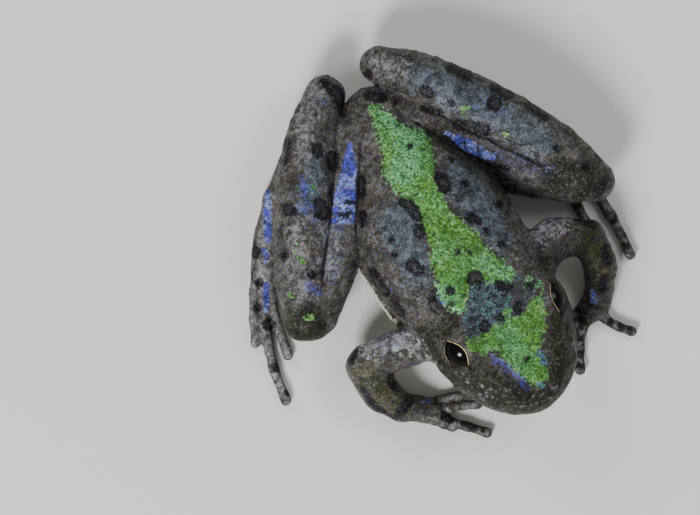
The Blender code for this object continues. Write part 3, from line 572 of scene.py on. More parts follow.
# The edge of the upper lip: forward and up, half its width, and how far from the head's own surface it is.
LIP_MARK = ((18.0, 4.30), (20.5, 4.62), (22.0, 4.72), (24.0, 4.88), (26.0, 4.98))
LIP_HALF_WIDTH = 0.06
LIP_REACH = 0.2
# How far out from a lid's dome the way to the opening is stored.
LID_NEAR = 0.5
# The markings that the skin stores as they are, under these names.
MARKINGS = {
    "green": GREEN_MARKS, "patch": PATCH_MARKS, "olive": OLIVE_MARKS, "mint": MINT_MARKS,
    "seam": SEAM_HIGHLIGHT_MARKS, "freckle": FRECKLE_MARKS, "ash": ASH_MARKS, "violet": VIOLET_SHEEN_MARKS,
    "blue_sheen": BLUE_SHEEN_MARKS, "deep": DEEP_MARKS, "sheen_speckle": SHEEN_SPECKLE_MARKS, "slate": SLATE_MARKS,
    "pale": PALE_MARKS, "russet": RUSSET_MARKS,
}

# Sizes in millimetres of the granules that colour and roughen the skin, and size and detail of its noises.
GRANULE_SIZES = {"coarse": 0.19, "fine": 0.10, "spot": 0.36}
NOISES = {
    "cloud": (1.8, 3.0), "blot": (0.55, 3.0), "mottle": (1.0, 2.0), "warm": (0.42, 2.0), "lilac": (0.36, 2.0),
}
# How far the markings' outlines wander, in millimetres, and how much the belly's edge does.
WANDER = 0.9
UNDER_WANDER = 0.4
# Each marking's edge: the granules whose random number says which of them are in, how ragged and how soft it
# is in millimetres, the marking's greatest share, and how much of the wander it takes.
EDGES = {
    "slate": ("coarse tone", 1.0, 0.6, 0.9, 1.0),
    "ash": ("coarse tone", 0.8, 0.4, 0.8, 1.0),
    "olive": ("coarse tone", 0.8, 0.5, 0.97, 1.0),
    "tan": ("coarse tone", 0.6, 0.3, 0.9, 1.0),
    "digit": ("coarse tone", 0.2, 0.2, 0.9, 0.3),
    "pale": ("coarse tone", 0.7, 0.3, 0.8, 1.0),
    "freckle": ("coarse tone", 0.6, 0.5, 0.52, 1.0),
    "russet": ("coarse tone", 0.8, 0.3, 0.75, 1.0),
    "patch": ("coarse tone", 0.5, 0.12, 0.95, 0.6),
    "mint": ("coarse tone", 1.2, 0.6, 0.9, 1.5),
    "deep": ("coarse tone", 0.8, 0.5, 0.38, 1.0),
    "green": ("coarse tone", 0.45, 0.04, 1.0, 0.45),
    "violet": ("fine tone", 0.16, 0.05, 0.95, 0.15),
    "blue_sheen": ("coarse tone", 0.45, 0.16, 0.50, 0.5),
    "sheen_speckle": ("coarse tone", 0.8, 0.4, 1.0, 1.0),
    "dark": ("fine tone", 0.18, 0.08, 0.95, 0.30),
    "seam": ("fine tone", 0.06, 0.05, 0.8, 0.05),
}
# The markings that tint the ground, in the order in which they cover each other.
TINTS = ("slate", "ash", "olive", "tan", "digit", "pale")
# Flecks mixed in one after another: the value that they follow, where they start and where they are full,
# their greatest share, and their colour.
GROUND_FLECKS = (
    ("warm", 0.50, 0.66, 0.6, "warm"),
    ("lilac", 0.52, 0.66, 0.7, "lilac"),
)
DUSK_FLECKS = (
    ("mottle", 0.42, 0.62, 0.45, "dusk"),
    ("blot", 0.42, 0.62, 0.45, "dusk"),
    ("coarse tone", 0.45, 0.95, 0.50, "dusk"),
)
LEAF_FLECKS = (
    ("fine tone", 0.35, 0.95, 0.85, "moss"),
    ("fine fleck", 0.80, 0.96, 0.6, "dew"),
    ("coarse fleck", 0.86, 0.92, 0.6, "dusk"),
    ("mottle", 0.56, 0.70, 0.45, "moss"),
)
# The flecks of the painted sheen.
SHEEN_FLECKS = (
    ("fine tone", 0.50, 0.95, 0.6, "violet"),
    ("coarse tone", 0.55, 0.80, 0.70, "night"),
    ("fine fleck", 0.78, 0.92, 0.75, "night"),
    ("coarse fleck", 0.86, 0.96, 0.5, "pale"),
)
# How much the olive tint keeps pale granules off, and how much of it gets lighter ones of its own.
OLIVE_BARE = 0.8
OLIVE_LIGHT = 0.36
# The relief of the granules, and the roughness of those with the highest and with the lowest tone.
BUMP_STRENGTH = 0.8
BUMP_HEIGHT = 0.05
FINE_BUMP = 0.45
SKIN_ROUGHNESS = (0.60, 0.26)
SKIN_SHADER = {
    "Specular IOR Level": 0.10, "Coat Weight": 0.02, "Coat Roughness": 0.15, "Subsurface Weight": 0.05,
    "Subsurface Radius": (1.0, 0.6, 0.4), "Subsurface Scale": 0.0003,
}
# The eyes' finish: the size of the iris' threads, how gold the pupil's ring is, and the size of the stretches
# in which the rim is darker.
EYE_SHADER = {"Roughness": 0.20, "Specular IOR Level": 0.03, "Coat Roughness": 0.02, "Coat IOR": 1.25}
PUPIL_BLACK = (0.002, 0.002, 0.002, 1.0)
THREAD_SIZE = 0.10
RING_SHARE = 0.4
STRETCH_SIZE = 0.5
# Where a colour mix node has its share and its two colours, and its result.
MIX_INPUTS = (0, 6, 7)
MIX_OUTPUT = 2

# The middle of the photograph falls on AIM, in the frog's frame, and one pixel there is PIXEL millimetres
# wide.
AIM = (9.735, -6.68, 4.0)
PIXEL = 0.0715
WIDTH_PIXELS = 700
IMAGE_RIGHT = (0.4910, 0.8716)
SENSOR = 36.0
CLIP_START = 0.01
# Lights: name, place from AIM in metres, width in metres, and power in watts.
LIGHTS = (
    ("key", (-0.235, -0.145, 0.220), 0.12, 2.0),
    ("fill", (0.24, 0.02, 0.26), 0.22, 0.50),
    ("back", (-0.06, 0.28, 0.18), 0.18, 0.50),
)
SURROUND = {"Color": (0.75, 0.78, 0.82, 1), "Strength": 0.33}
FLOOR_ROUGHNESS = 0.8


def place(points):
    """Model points, in metres, of points in the frog's frame, in millimetres."""
    points = np.asarray(points, float)
    return np.stack((points[:, 1] * MM, -points[:, 0] * MM, points[:, 2] * MM), axis=1) + FROG_ORIGIN


def turn(direction):
    """A direction of the frog's frame as a direction of the model."""
    forward, left, up = direction
    return Vector((left, -forward, up))


def find_origin():
    """Where the vent's point on the floor stands in the model, read from the two eyeballs."""
    boxes = np.array([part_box("eye_left"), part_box("eye_right")], float)
    middle = boxes.reshape(-1, 3).mean(axis=0)
    return np.array((middle[0] - EYE_MIDDLE * MM, middle[1] + EYE_FORWARD * MM, 0.0))


FROG_ORIGIN = find_origin()


def bell(value, middle, width):
    """A bell that is 1 at middle and 1/e at width from it."""
    return np.exp(-(((value - middle) / width) ** 2))


def eased(share):
    """A share held between 0 and 1, which starts and ends gently."""
    share = np.clip(share, 0, 1)
    return share * share * (3 - 2 * share)


def steady_curve(at, known_at, known):
    """Values between known ones on a cubic. Each slope is that of a parabola through three neighbours, held
    to three times the gentler of the two rises beside it, so that the curve never overshoots."""
    step = np.diff(known_at)[:, None]
    rise = np.diff(known, axis=0) / step
    before, after = rise[:-1], rise[1:]
    slope = np.zeros_like(known)
    mean = (step[:-1] * after + step[1:] * before) / (step[:-1] + step[1:])
    limit = 3 * np.minimum(np.abs(before), np.abs(after)) * (before * after > 0)
    slope[1:-1] = np.clip(mean, -limit, limit)
    slope[0], slope[-1] = rise[0], rise[-1]
    cell = np.clip(np.searchsorted(known_at, at) - 1, 0, len(step) - 1)
    width = step[cell]
    t = (at - known_at[cell])[:, None] / width
    return (
        known[cell] * (1 + 2 * t) * (1 - t) ** 2
        + slope[cell] * width * t * (1 - t) ** 2
        + known[cell + 1] * t**2 * (3 - 2 * t)
        + slope[cell + 1] * width * t**2 * (t - 1)
    )


def smooth_rows(rows, steps):
    """Rows read from a smooth curve through the given ones, with this many steps from each to the next."""
    rows = np.array(rows, float)
    before = np.vstack([2 * rows[0] - rows[1], rows[:-2]])
    first, second = rows[:-1], rows[1:]
    after = np.vstack([rows[2:], 2 * rows[-1] - rows[-2]])
    parts = []
    for step in range(steps):
        t = step / steps
        parts.append(
            first
            + 0.5 * t * (second - before)
            + t * t * (before - 2.5 * first + 2 * second - 0.5 * after)
            + 0.5 * t**3 * (3 * first - before - 3 * second + after)
        )
    mixed = np.stack(parts, axis=1).reshape(-1, rows.shape[1])
    return np.vstack([mixed, rows[-1:]])


def body_table():
    """The slices every TABLE_STEP, and TABLE_PAST beyond both ends. Widths and heights are smoothed as
    squares, which run through nothing in a straight line there, and so keep rump and snout round. In the
    end the two heights give way to the half width over each of them."""
    forward, middle, width, widest, top, bottom, square = BODY.T
    at = np.arange(forward[0] - TABLE_PAST, forward[-1] + TABLE_PAST + TABLE_STEP / 2, TABLE_STEP)
    known = np.stack((middle, width**2, widest, (top - widest) ** 2, (widest - bottom) ** 2, square), axis=1)
    inside = np.clip(at, forward[0], forward[-1])
    table = steady_curve(inside, forward, known)
    for end in (0, -1):
        near = 1 if end == 0 else -2
        slope = (known[near] - known[end]) / (forward[near] - forward[end])
        past = (at - inside) * ((at < forward[0]) if end == 0 else (at > forward[-1]))
        table[:, SQUARES] += past[:, None] * slope[SQUARES]
    core = np.clip(inside, forward[1], forward[-2])
    squares = np.stack([np.interp(core, at, table[:, i]) for i in SQUARES], axis=1)
    table[:, SQUARES[1]] = np.sqrt(squares[:, 0] / squares[:, 1])
    table[:, SQUARES[2]] = np.sqrt(squares[:, 0] / squares[:, 2])
    return at, table, np.gradient(table, at, axis=0)


BODY_AT, BODY_TABLE, BODY_SLOPES = body_table()


def body_distance(points):
    """Distance from trunk and head. With R the n-th root of |across|^n + |up * half width / half height|^n,
    the skin lies where f = R^2 - (half width)^2 is nothing. From f and its steepness g the distance is
    f / (g/2 + root of (g^2/4 - f)), which is exact for balls and rods."""
    forward, left, up = points.T
    middle, square_width, widest, over, below, square = (
        np.interp(forward, BODY_AT, row) for row in BODY_TABLE.T
    )
    slope = [np.interp(forward, BODY_AT, row) for row in BODY_SLOPES.T]
    upper = up >= widest
    ratio = np.where(upper, over, below)
    ratio_slope = np.where(upper, slope[3], slope[4])
    power = np.where(upper, square, BELLY_SQUARENESS)
    across, high = left - middle, up - widest
    u, v = np.abs(across) + SPECK, np.abs(high) * ratio + SPECK
    radius = (u**power + v**power) ** (1 / power)
    share_u = 2 * radius * (u / radius) ** (power - 1) * np.sign(across)
    share_v = 2 * radius * (v / radius) ** (power - 1) * np.sign(high)
    along = -slope[1] - share_u * slope[0] - share_v * (slope[2] * ratio - high * ratio_slope)
    level = radius**2 - square_width
    half = 0.5 * np.sqrt(share_u**2 + (share_v * ratio) ** 2 + along**2)
    return level / np.maximum(half + np.sqrt(np.maximum(half**2 - level, 0)), LEAST_SLOPE)


def stroke_distance(points, rows):
    """Distance from a round stroke: for each piece of its path, the way to the nearest point of the piece
    less the radius there, and of these the least."""
    best = np.full(len(points), np.inf)
    for first, second in zip(rows[:-1], rows[1:]):
        along = second[:3] - first[:3]
        away = points - first[:3]
        t = np.clip(away @ along / max(along @ along, TINY), 0, 1)
        radius = first[3] + t * (second[3] - first[3])
        best = np.minimum(best, np.linalg.norm(away - t[:, None] * along, axis=1) - radius)
    return best


def smooth_union(first, second, blend):
    """The least of two distances, with the corner between them filled over a width of blend."""
    near = np.maximum(blend - np.abs(first - second), 0) / np.maximum(blend, SPECK)
    return np.minimum(first, second) - near * near * blend / 4


def smooth_cut(first, second, blend):
    """The first shape with the second taken out of it, its edge rounded over a width of blend."""
    return -smooth_union(-first, second, blend)


def web_outline(rows):
    """The web in plan: from the sole out to each toe, sagging back towards the root between the toes."""
    reached = []
    for row in rows[1:]:
        path = smooth_rows(row, WEB_STEPS)
        reached.append(path[int(WEB_REACH * (len(path) - 1)), :2])
    root = np.array(rows[0][1][:2])
    edge = [reached[0]]
    for near, far in zip(reached, reached[1:]):
        middle = 0.5 * (near + far)
        edge += [middle + WEB_SAG * (root - middle), far]
    return np.array([root, *edge])


def web_distance(points, outline):
    """Distance from a thin level plate whose plan is a closed outline: the way to the outline, negative
    inside by the winding of its sides, and the way out of its thickness, whichever is more."""
    plan = points[:, :2]
    nearest = np.full(len(points), np.inf)
    inside = np.zeros(len(points), bool)
    for first, second in zip(outline, np.roll(outline, -1, axis=0)):
        along = second - first
        away = plan - first
        t = np.clip(away @ along / (along @ along), 0, 1)
        nearest = np.minimum(nearest, np.linalg.norm(away - t[:, None] * along, axis=1))
        crosses = (first[1] > plan[:, 1]) != (second[1] > plan[:, 1])
        rise = along[1] if abs(along[1]) > TINY else TINY
        inside ^= crosses & (plan[:, 0] < first[0] + (plan[:, 1] - first[1]) * along[0] / rise)
    level = np.abs(points[:, 2] - WEB_UP) - WEB_HALF_THICKNESS
    return np.maximum(np.where(inside, -nearest, nearest), level)


def swollen(rows):
    """A digit's path with a small swelling at each of its two joints and a pad at its tip."""
    along = np.linspace(0, 1, len(rows))
    swelling = sum(bell(along, joint, JOINT_LENGTH) for joint in DIGIT_JOINTS)
    rows[:, 3] *= SLIMMING + JOINT_SWELLING * swelling + TIP_SWELLING * bell(along, TIP_AT, TIP_LENGTH)
    return rows


LIMB_ROWS = {name: smooth_rows(rows, LIMB_STEPS) for name, rows in LIMBS.items()}


def make_parts():
    """Every limb and form as name, path, blend at its joint and blend elsewhere, in the order in which they
    join."""
    parts = []
    for side in ("right", "left"):
        for kind in ("upper_arm", "forearm", "thigh", "shank", "tarsus"):
            parts.append((f"{kind}_{side}", LIMB_ROWS[f"{kind}_{side}"], *BLENDS[kind]))
        for kind, ends in (("hand", HANDS), ("foot", FEET)):
            palm, *digits = ends[f"{kind}_{side}"]
            parts.append((f"{kind}_{side}", smooth_rows(palm, FORM_STEPS), *BLENDS[kind]))
            for i, digit in enumerate(digits):
                rows = swollen(smooth_rows(digit, DIGIT_STEPS))
                parts.append((f"{kind}_digit_{side}_{i}", rows, DIGIT_BLEND, DIGIT_BLEND))
    for ridge, blend in HEAD_RIDGES:
        for sign in (-1, 1):
            rows = smooth_rows(ridge, FORM_STEPS)
            rows[:, 1] = EYE_MIDDLE + sign * rows[:, 1]
            parts.append(("head_ridge", rows, blend, blend))
    for fold in FOLDS:
        parts.append(("fold", smooth_rows(fold, FORM_STEPS), FOLD_BLEND, FOLD_BLEND))
    return parts


PARTS = make_parts()
WEBS = [web_outline(rows) for rows in FEET.values()]


def boxed(points, rows, margin):
    """Which points lie in the box of a path, widened by its radius and a margin."""
    wide = rows[:, 3].max() + margin
    low, high = rows[:, :3].min(axis=0) - wide, rows[:, :3].max(axis=0) + wide
    return np.flatnonzero(np.all((points > low) & (points < high), axis=1))


def eye_frame(side):
    """An eye's centre, the way it looks, and its long and upright directions, in the frog's frame."""
    centre = np.array((EYE_FORWARD, EYE_MIDDLE + side * EYE_LEFT, EYE_UP))
    gaze = np.array((EYE_GAZE[0], side * EYE_GAZE[1], EYE_GAZE[2]))
    gaze /= np.linalg.norm(gaze)
    upright = np.array((0.0, 0.0, 1.0)) - gaze[2] * gaze
    upright /= np.linalg.norm(upright)
    long = np.cross(upright, gaze) * side
    return centre, gaze, long, upright


def lens_distance(away, side):
    """Distance from the outline between the lids, negative inside: |along / half length| to OPENING_POWER
    plus |up / half height| less one, over the steepness of that sum. The upper lid arches more than the
    lower one."""
    long, upright = eye_frame(side)[2:]
    along, up = away @ long / OPENING_LONG, away @ upright
    height = np.where(up > 0, OPENING_UPPER, OPENING_LOWER)
    level = np.abs(along) ** OPENING_POWER + np.abs(up) / height - 1
    slope = OPENING_POWER * np.abs(along) ** (OPENING_POWER - 1) / OPENING_LONG
    return level / np.hypot(slope, 1 / height)


def lid_radius(lens):
    """How far the skin lies from the middle of an eye, by the way from the opening's outline: under the
    eyeball inside, a thin edge on the outline, then a gentle rise to the lid."""
    edge = (SOCKET_DEPTH + LID_EDGE - EYE_RADIUS) * eased((lens + EDGE_START) / EDGE_WIDTH)
    rise = (LID_RADIUS - LID_EDGE) * eased((lens - EDGE_START) / LID_WIDTH)
    return EYE_RADIUS - SOCKET_DEPTH + edge + rise


def nostril_at(side):
    """The middle of a nostril."""
    return np.array((NOSTRIL[0], EYE_MIDDLE + side * NOSTRIL[1], NOSTRIL[2]))


def press_mouth(points, body, value):
    """Presses in the line of the mouth where the body's own distance is small, so not on an arm."""
    below = points[:, 2] - np.interp(points[:, 0], MOUTH_FORWARD, MOUTH_UP)
    ahead = np.clip((points[:, 0] - MOUTH_FORWARD[0]) / MOUTH_START, 0, 1)
    on_body = np.clip((MOUTH_REACH - body) / MOUTH_FADE, 0, 1)
    return value + MOUTH_DEPTH * (ahead * on_body) * bell(below, 0, MOUTH_WIDTH)


def add_lids(points, value, side):
    """Joins an eye's dome to the head, and shapes both lids and the furrow round them on it."""
    centre, gaze = eye_frame(side)[:2]
    away = points - centre
    size = np.linalg.norm(away, axis=1)
    value = smooth_union(value, size - LID_RADIUS, DOME_BLEND)
    lens = lens_distance(away, side)
    facing = np.clip(away @ gaze / FACING_FADE, 0, 1) * (size < DOME_REACH)
    share = eased((LID_REACH - lens) / LID_FADE) * facing
    value = value + share * (size - lid_radius(lens) - value)
    return value + LID_FURROW * facing * bell(lens, FURROW_AT, FURROW_WIDTH)


def add_eardrum(points, value, side):
    """Raises the ring of an eardrum and presses in its middle."""
    drum = np.linalg.norm(points - (EARDRUM[0], side * EARDRUM[1], EARDRUM[2]), axis=1)
    ring = bell(drum, EARDRUM_RADIUS, RING_WIDTH)
    return value - RING_HEIGHT * ring + DRUM_DEPTH * bell(drum, 0, DRUM_WIDTH)


def add_nostril(points, value, side):
    """Raises the brim of a nostril and cuts its hole."""
    hole = np.linalg.norm(points - nostril_at(side), axis=1)
    value = value - BRIM_HEIGHT * bell(hole, BRIM_RADIUS, BRIM_WIDTH)
    return smooth_cut(value, hole - NOSTRIL_RADIUS, NOSTRIL_BLEND)


def dress_head(points, body, value):
    """Adds mouth, lids, eardrums and nostrils to the distances of points of the head."""
    value = press_mouth(points, body, value)
    for side in (-1, 1):
        for form in (add_lids, add_eardrum, add_nostril):
            value = form(points, value, side)
    return value


def skin_distance(points):
    """Distance from the whole skin, negative inside: body, then limbs, webs and the forms of the head, each
    smoothly joined to what is there, and the floor cuts all of them flat."""
    body = body_distance(points)
    value = body.copy()
    for _, rows, joint_blend, crease in PARTS:
        near = boxed(points, rows, PART_MARGIN)
        if near.size == 0:
            continue
        at_joint = bell(np.linalg.norm(points[near] - rows[0, :3], axis=1), 0, JOINT_SPREAD)
        blend = crease + (joint_blend - crease) * at_joint
        value[near] = smooth_union(value[near], stroke_distance(points[near], rows), blend)
    for outline in WEBS:
        low, high = outline.min(axis=0) - WEB_MARGIN, outline.max(axis=0) + WEB_MARGIN
        over_web = np.all((points[:, :2] > low) & (points[:, :2] < high), axis=1)
        near = np.flatnonzero(over_web & (points[:, 2] < WEB_CEILING))
        if near.size:
            value[near] = smooth_union(value[near], web_distance(points[near], outline), WEB_BLEND)
    head = np.flatnonzero(points[:, 0] > MOUTH_FORWARD[0] - 1)
    if head.size:
        value[head] = dress_head(points[head], body[head], value[head])
    return smooth_cut(value, points[:, 2], FLOOR_BLEND)


def in_blocks(function, points, size=200000):
    """A function of points, worked out block by block."""
    return np.concatenate([function(points[i : i + size]) for i in range(0, len(points), size)])


# The skin is given painted shade along these creases.
def creases(points):
    """How far a point of the skin is from a crease, where the flank or a shank lies on a thigh: the greater
    of its ways from the two, and MARK_REACH near the hip and the floor."""
    found = np.full(len(points), MARK_REACH)
    for side in ("right", "left"):
        thigh, shank = LIMB_ROWS[f"thigh_{side}"], LIMB_ROWS[f"shank_{side}"]
        near = boxed(points, thigh, LIMB_MARGIN)
        forward, up = points[near, 0], points[near, 2]
        near = near[(forward > CREASE_BACK) & (forward < CREASE_FRONT) & (up > CREASE_BOTTOM)]
        if near.size:
            to_body = np.abs(body_distance(points[near]))
            to_shank = np.abs(stroke_distance(points[near], shank))
            to_thigh = np.abs(stroke_distance(points[near], thigh))
            apart = np.maximum(np.minimum(to_body, to_shank), to_thigh)
            found[near] = np.minimum(found[near], apart)
    return found


def on_thighs(points, distance):
    """A marking's distance, cut off where the thigh that carries it goes under the body or a shank."""
    others = body_distance(points)
    for side in ("right", "left"):
        shank = LIMB_ROWS[f"shank_{side}"]
        near = boxed(points, shank, LIMB_MARGIN)
        others[near] = np.minimum(others[near], stroke_distance(points[near], shank))
    return np.maximum(distance, WEDGE_GAP - others)


def steepest(points, step=0.02):
    """The unit direction in which the skin's distance grows, from four probes at the corners of a small
    pyramid."""
    corners = np.array(((1, -1, -1), (-1, -1, 1), (-1, 1, -1), (1, 1, 1)), float)
    total = sum(
        corner * in_blocks(skin_distance, points + step * corner)[:, None] for corner in corners
    )
    return total / np.maximum(np.linalg.norm(total, axis=1), TINY)[:, None]


def pair_slices(axis, rest):
    """What picks the first and the second of all neighbouring pairs along an axis of a grid, with the same
    slice of the other axes for both."""
    first, second = [rest] * 3, [rest] * 3
    first[axis], second[axis] = slice(0, -1), slice(1, None)
    return tuple(first), tuple(second)


def cell_points(value, cells):
    """Which cells of a grid the zero level crosses, and for each the mean of the crossings on its edges, in
    steps of the grid."""
    total = np.zeros((*cells, 3))
    hits = np.zeros(cells)
    for axis in range(3):
        first, second = pair_slices(axis, slice(None))
        one, two = value[first], value[second]
        crossed = (one < 0) != (two < 0)
        share = np.where(crossed, one / np.where(crossed, one - two, 1), 0)
        others = [i for i in range(3) if i != axis]
        for a in (0, 1):
            for b in (0, 1):
                part = [slice(None)] * 3
                part[others[0]] = slice(a, cells[others[0]] + a)
                part[others[1]] = slice(b, cells[others[1]] + b)
                hit = crossed[tuple(part)]
                total[..., axis] += np.where(hit, share[tuple(part)], 0)
                total[..., others[0]] += np.where(hit, a, 0)
                total[..., others[1]] += np.where(hit, b, 0)
                hits += hit
    used = hits > 0
    return used, np.argwhere(used) + total[used] / hits[used][:, None]


def cell_faces(inside, index):
    """A face of the four cells round each grid edge that leads into the skin or out of it, by the numbers
    of the cells' points."""
    faces = []
    for axis in range(3):
        first, second = pair_slices(axis, slice(1, -1))
        one, two = inside[first], inside[second]
        base = np.argwhere(one != two)
        leaving = one[one != two]
        others = [(axis + 1) % 3, (axis + 2) % 3]
        base[:, others] += 1
        corners = []
        for a, b in ((0, 0), (1, 0), (1, 1), (0, 1)):
            cell = base.copy()
            cell[:, others] -= (a, b)
            corners.append(index[tuple(cell.T)])
        quads = np.stack(corners, axis=1)
        quads[leaving] = quads[leaving][:, ::-1]
        faces.append(quads)
    return np.vstack(faces)[:, ::-1]


def net_surface(step):
    """A closed net over the zero level of the skin's distance. Every cell of an even grid that the level
    crosses gets one point, and every crossed grid edge gets a face of the four cells round it."""
    count = np.ceil(np.array(GRID_SIZE) / step).astype(int) + 1
    axes = [GRID_CORNER[i] + step * np.arange(count[i]) for i in range(3)]
    grid = np.stack(np.meshgrid(*axes, indexing="ij"), axis=-1).reshape(-1, 3)
    value = in_blocks(skin_distance, grid).reshape(count)
    used, points = cell_points(value, tuple(count - 1))
    index = np.full(used.shape, -1)
    index[used] = np.arange(used.sum())
    points = np.array(GRID_CORNER) + step * points
    return points, split_quads(points, cell_faces(value < 0, index))


def split_quads(points, quads):
    """Each four-sided face as two triangles across its shorter diagonal."""
    a, b, c, d = (points[quads[:, i]] for i in range(4))
    short = np.linalg.norm(a - c, axis=1) <= np.linalg.norm(b - d, axis=1)
    one = np.where(short[:, None], quads[:, [0, 1, 2]], quads[:, [0, 1, 3]])
    two = np.where(short[:, None], quads[:, [0, 2, 3]], quads[:, [1, 2, 3]])
    return np.vstack([one, two])


def turned_rows(rows, start):
    """Rows of three, each turned so that its member at the place given in start comes first."""
    return np.take_along_axis(rows, (start[:, None] + np.arange(3)) % 3, axis=1)


def halve_edges(points, triangles, chosen):
    """Halves every edge whose two ends are chosen, and splits each triangle in two, three or four to
    match."""
    edges = np.sort(triangles[:, [0, 1, 1, 2, 2, 0]].reshape(-1, 2), axis=1)
    edges, which = np.unique(edges, axis=0, return_inverse=True)
    halved = chosen[edges[:, 0]] & chosen[edges[:, 1]]
    middle = np.full(len(edges), -1)
    middle[halved] = len(points) + np.arange(halved.sum())
    added = 0.5 * (points[edges[halved, 0]] + points[edges[halved, 1]])
    points = np.vstack([points, added])
    marks = middle[which.reshape(-1, 3)]
    split = marks >= 0
    start = np.argmax(split & ~np.roll(split, 1, axis=1), axis=1)
    corners = np.hstack([turned_rows(triangles, start), turned_rows(marks, start)])
    number = split.sum(axis=1)
    made = [corners[number == count][:, list(part)] for count, parts in SPLITS.items() for part in parts]
    return points, np.vstack(made)


def neighbour_mean(points, triangles):
    """The mean of each point's neighbours on the net."""
    one, two = np.vstack([triangles[:, [0, 1]], triangles[:, [1, 2]], triangles[:, [2, 0]]]).T
    size = len(points)
    number = np.bincount(one, minlength=size) + np.bincount(two, minlength=size)
    total = np.stack(
        [np.bincount(one, points[two, i], size) + np.bincount(two, points[one, i], size) for i in range(3)],
        axis=1,
    )
    return total / np.maximum(number, 1)[:, None]


def settle(points, triangles, rounds):
    """Evens out the net along the surface, and after each round draws it back to the zero level along the
    way that the distance grows."""
    for _ in range(rounds):
        normal = steepest(points)
        shift = neighbour_mean(points, triangles) - points
        shift -= np.sum(shift * normal, axis=1)[:, None] * normal
        points = points + SETTLE_SHARE * shift
        distance = np.clip(in_blocks(skin_distance, points), -SETTLE_REACH, SETTLE_REACH)
        points = points - distance[:, None] * normal
    return points


def fine_places(points):
    """Where the net is made finer: the head, all digits with the webs, folds, and the thighs beside the
    body."""
    forward, left, up = points.T
    fine = (forward > FINE_HEAD[0]) & (up > FINE_HEAD[2]) & (np.abs(left) < FINE_HEAD[1])
    for name, rows, *_ in PARTS:
        if "digit" in name or name == "fold":
            near = boxed(points, rows, 2 * FINE_REACH)
            fine[near] |= stroke_distance(points[near], rows) < FINE_REACH
    wedges = marking(seen_from_above(points), SHEEN_WEDGE_MARKS)
    return fine | (creases(points) < FINE_CREASE) | (wedges < FINE_WEDGE)


def finest_places(points):
    """Where the net is made finer once more: the lids, the nostrils and the line of the mouth."""
    forward, _, up = points.T
    from_mouth = np.abs(up - np.interp(forward, MOUTH_FORWARD, MOUTH_UP))
    finest = (forward > FINEST_FORWARD) & (from_mouth < FINEST_MOUTH)
    for side in (-1, 1):
        centre, gaze = eye_frame(side)[:2]
        away = points - centre
        finest |= (np.linalg.norm(away, axis=1) < LID_RADIUS + FINEST_LID) & (away @ gaze > FINEST_LID)
        finest |= np.linalg.norm(points - nostril_at(side), axis=1) < FINEST_NOSTRIL
    return finest


def scattered_warts(points, normals):
    """Small warts strewn over what faces up: points of the skin in a shuffled order, each kept if none that
    was kept before lies within SMALL_WART_SPACING."""
    order = np.random.default_rng(WART_SEED)
    allowed = (normals[:, 2] > WART_FACING) & (points[:, 2] > WART_LOWEST) & (points[:, 0] < WART_FRONT)
    for side in (-1, 1):
        allowed &= np.linalg.norm(points - eye_frame(side)[0], axis=1) > LID_RADIUS + WART_FROM_LID
    candidates = order.permutation(np.flatnonzero(allowed))[:WART_TRIES]
    kept = np.array([row[:3] for row in WARTS])
    seen = len(kept)
    for candidate in points[candidates]:
        if len(kept) - seen >= SMALL_WARTS:
            break
        if np.min(np.linalg.norm(kept - candidate, axis=1)) > SMALL_WART_SPACING:
            kept = np.vstack([kept, candidate])
    sizes = order.uniform(*SMALL_WART_RADIUS, len(kept) - seen)
    sizes[np.abs(kept[seen:, 1]) > LIMB_FROM] *= LIMB_WART_SHARE
    return np.column_stack([kept[seen:], sizes])


def unevenness(points):
    """A sum of waves, each the sine of the way along a random direction over its length, the longer the
    higher."""
    chance = np.random.default_rng(WART_SEED + 1)
    directions = chance.normal(size=(WAVES, 3))
    directions /= np.linalg.norm(directions, axis=1)[:, None]
    lengths = chance.uniform(*WAVE_LENGTHS, WAVES)
    starts = chance.uniform(0, 2 * pi, WAVES)
    total = np.zeros(len(points))
    for direction, length, start in zip(directions, lengths, starts):
        total += WAVE_HEIGHT * length * np.sin(points @ direction * 2 * pi / length + start)
    return total


def raise_warts(points, normals):
    """Pushes each wart out along the skin, in the shape of a bell: its height times e to minus (way / bell's
    width)^2. Also gives each point its share of the nearest wart's height."""
    share = np.zeros(len(points))
    lift = np.zeros(len(points))
    for forward, left, up, radius in np.vstack([np.array(WARTS), scattered_warts(points, normals)]):
        reach = WART_REACH * radius
        away = np.abs(points[:, :2] - (forward, left))
        near = np.flatnonzero((away < reach).all(axis=1))
        away = (points[near] - (forward, left, up)) * WART_STRETCH
        bulge = np.exp(-np.sum(away**2, axis=1) / (WART_WIDTH * radius) ** 2)
        share[near] = np.maximum(share[near], bulge)
        lift[near] = np.maximum(lift[near], bulge * radius * WART_HEIGHT)
    return points + lift[:, None] * normals, share


def calm_places(points):
    """Where the skin may be uneven: everywhere but at the lids and the floor, fading towards both."""
    share = np.clip(points[:, 2] / CALM_HEIGHT, 0, 1)
    for side in (-1, 1):
        away = np.linalg.norm(points - eye_frame(side)[0], axis=1)
        share *= np.clip((away - LID_RADIUS) / CALM_REACH, 0, 1)
    return share


def seen_from_above(points):
    """Points as the markings are measured: leaning with the view, and with their height counted for less."""
    return np.stack(
        (points[:, 0], points[:, 1] + VIEW_LEAN * points[:, 2], HEIGHT_SHARE * points[:, 2]), axis=1
    )


def marking(points, strokes):
    """Distance from the nearest of the strokes of a marking, and MARK_REACH where none is near."""
    best = np.full(len(points), MARK_REACH)
    for stroke in strokes:
        rows = smooth_rows(stroke, MARK_STEPS) if len(stroke) > 2 else np.array(stroke, float)
        rows = np.column_stack([seen_from_above(rows[:, :3]), rows[:, 3]])
        near = boxed(points, rows, MARK_REACH)
        if len(rows) == 1:
            rows = np.vstack([rows, rows])
        best[near] = np.minimum(best[near], stroke_distance(points[near], rows))
    return best


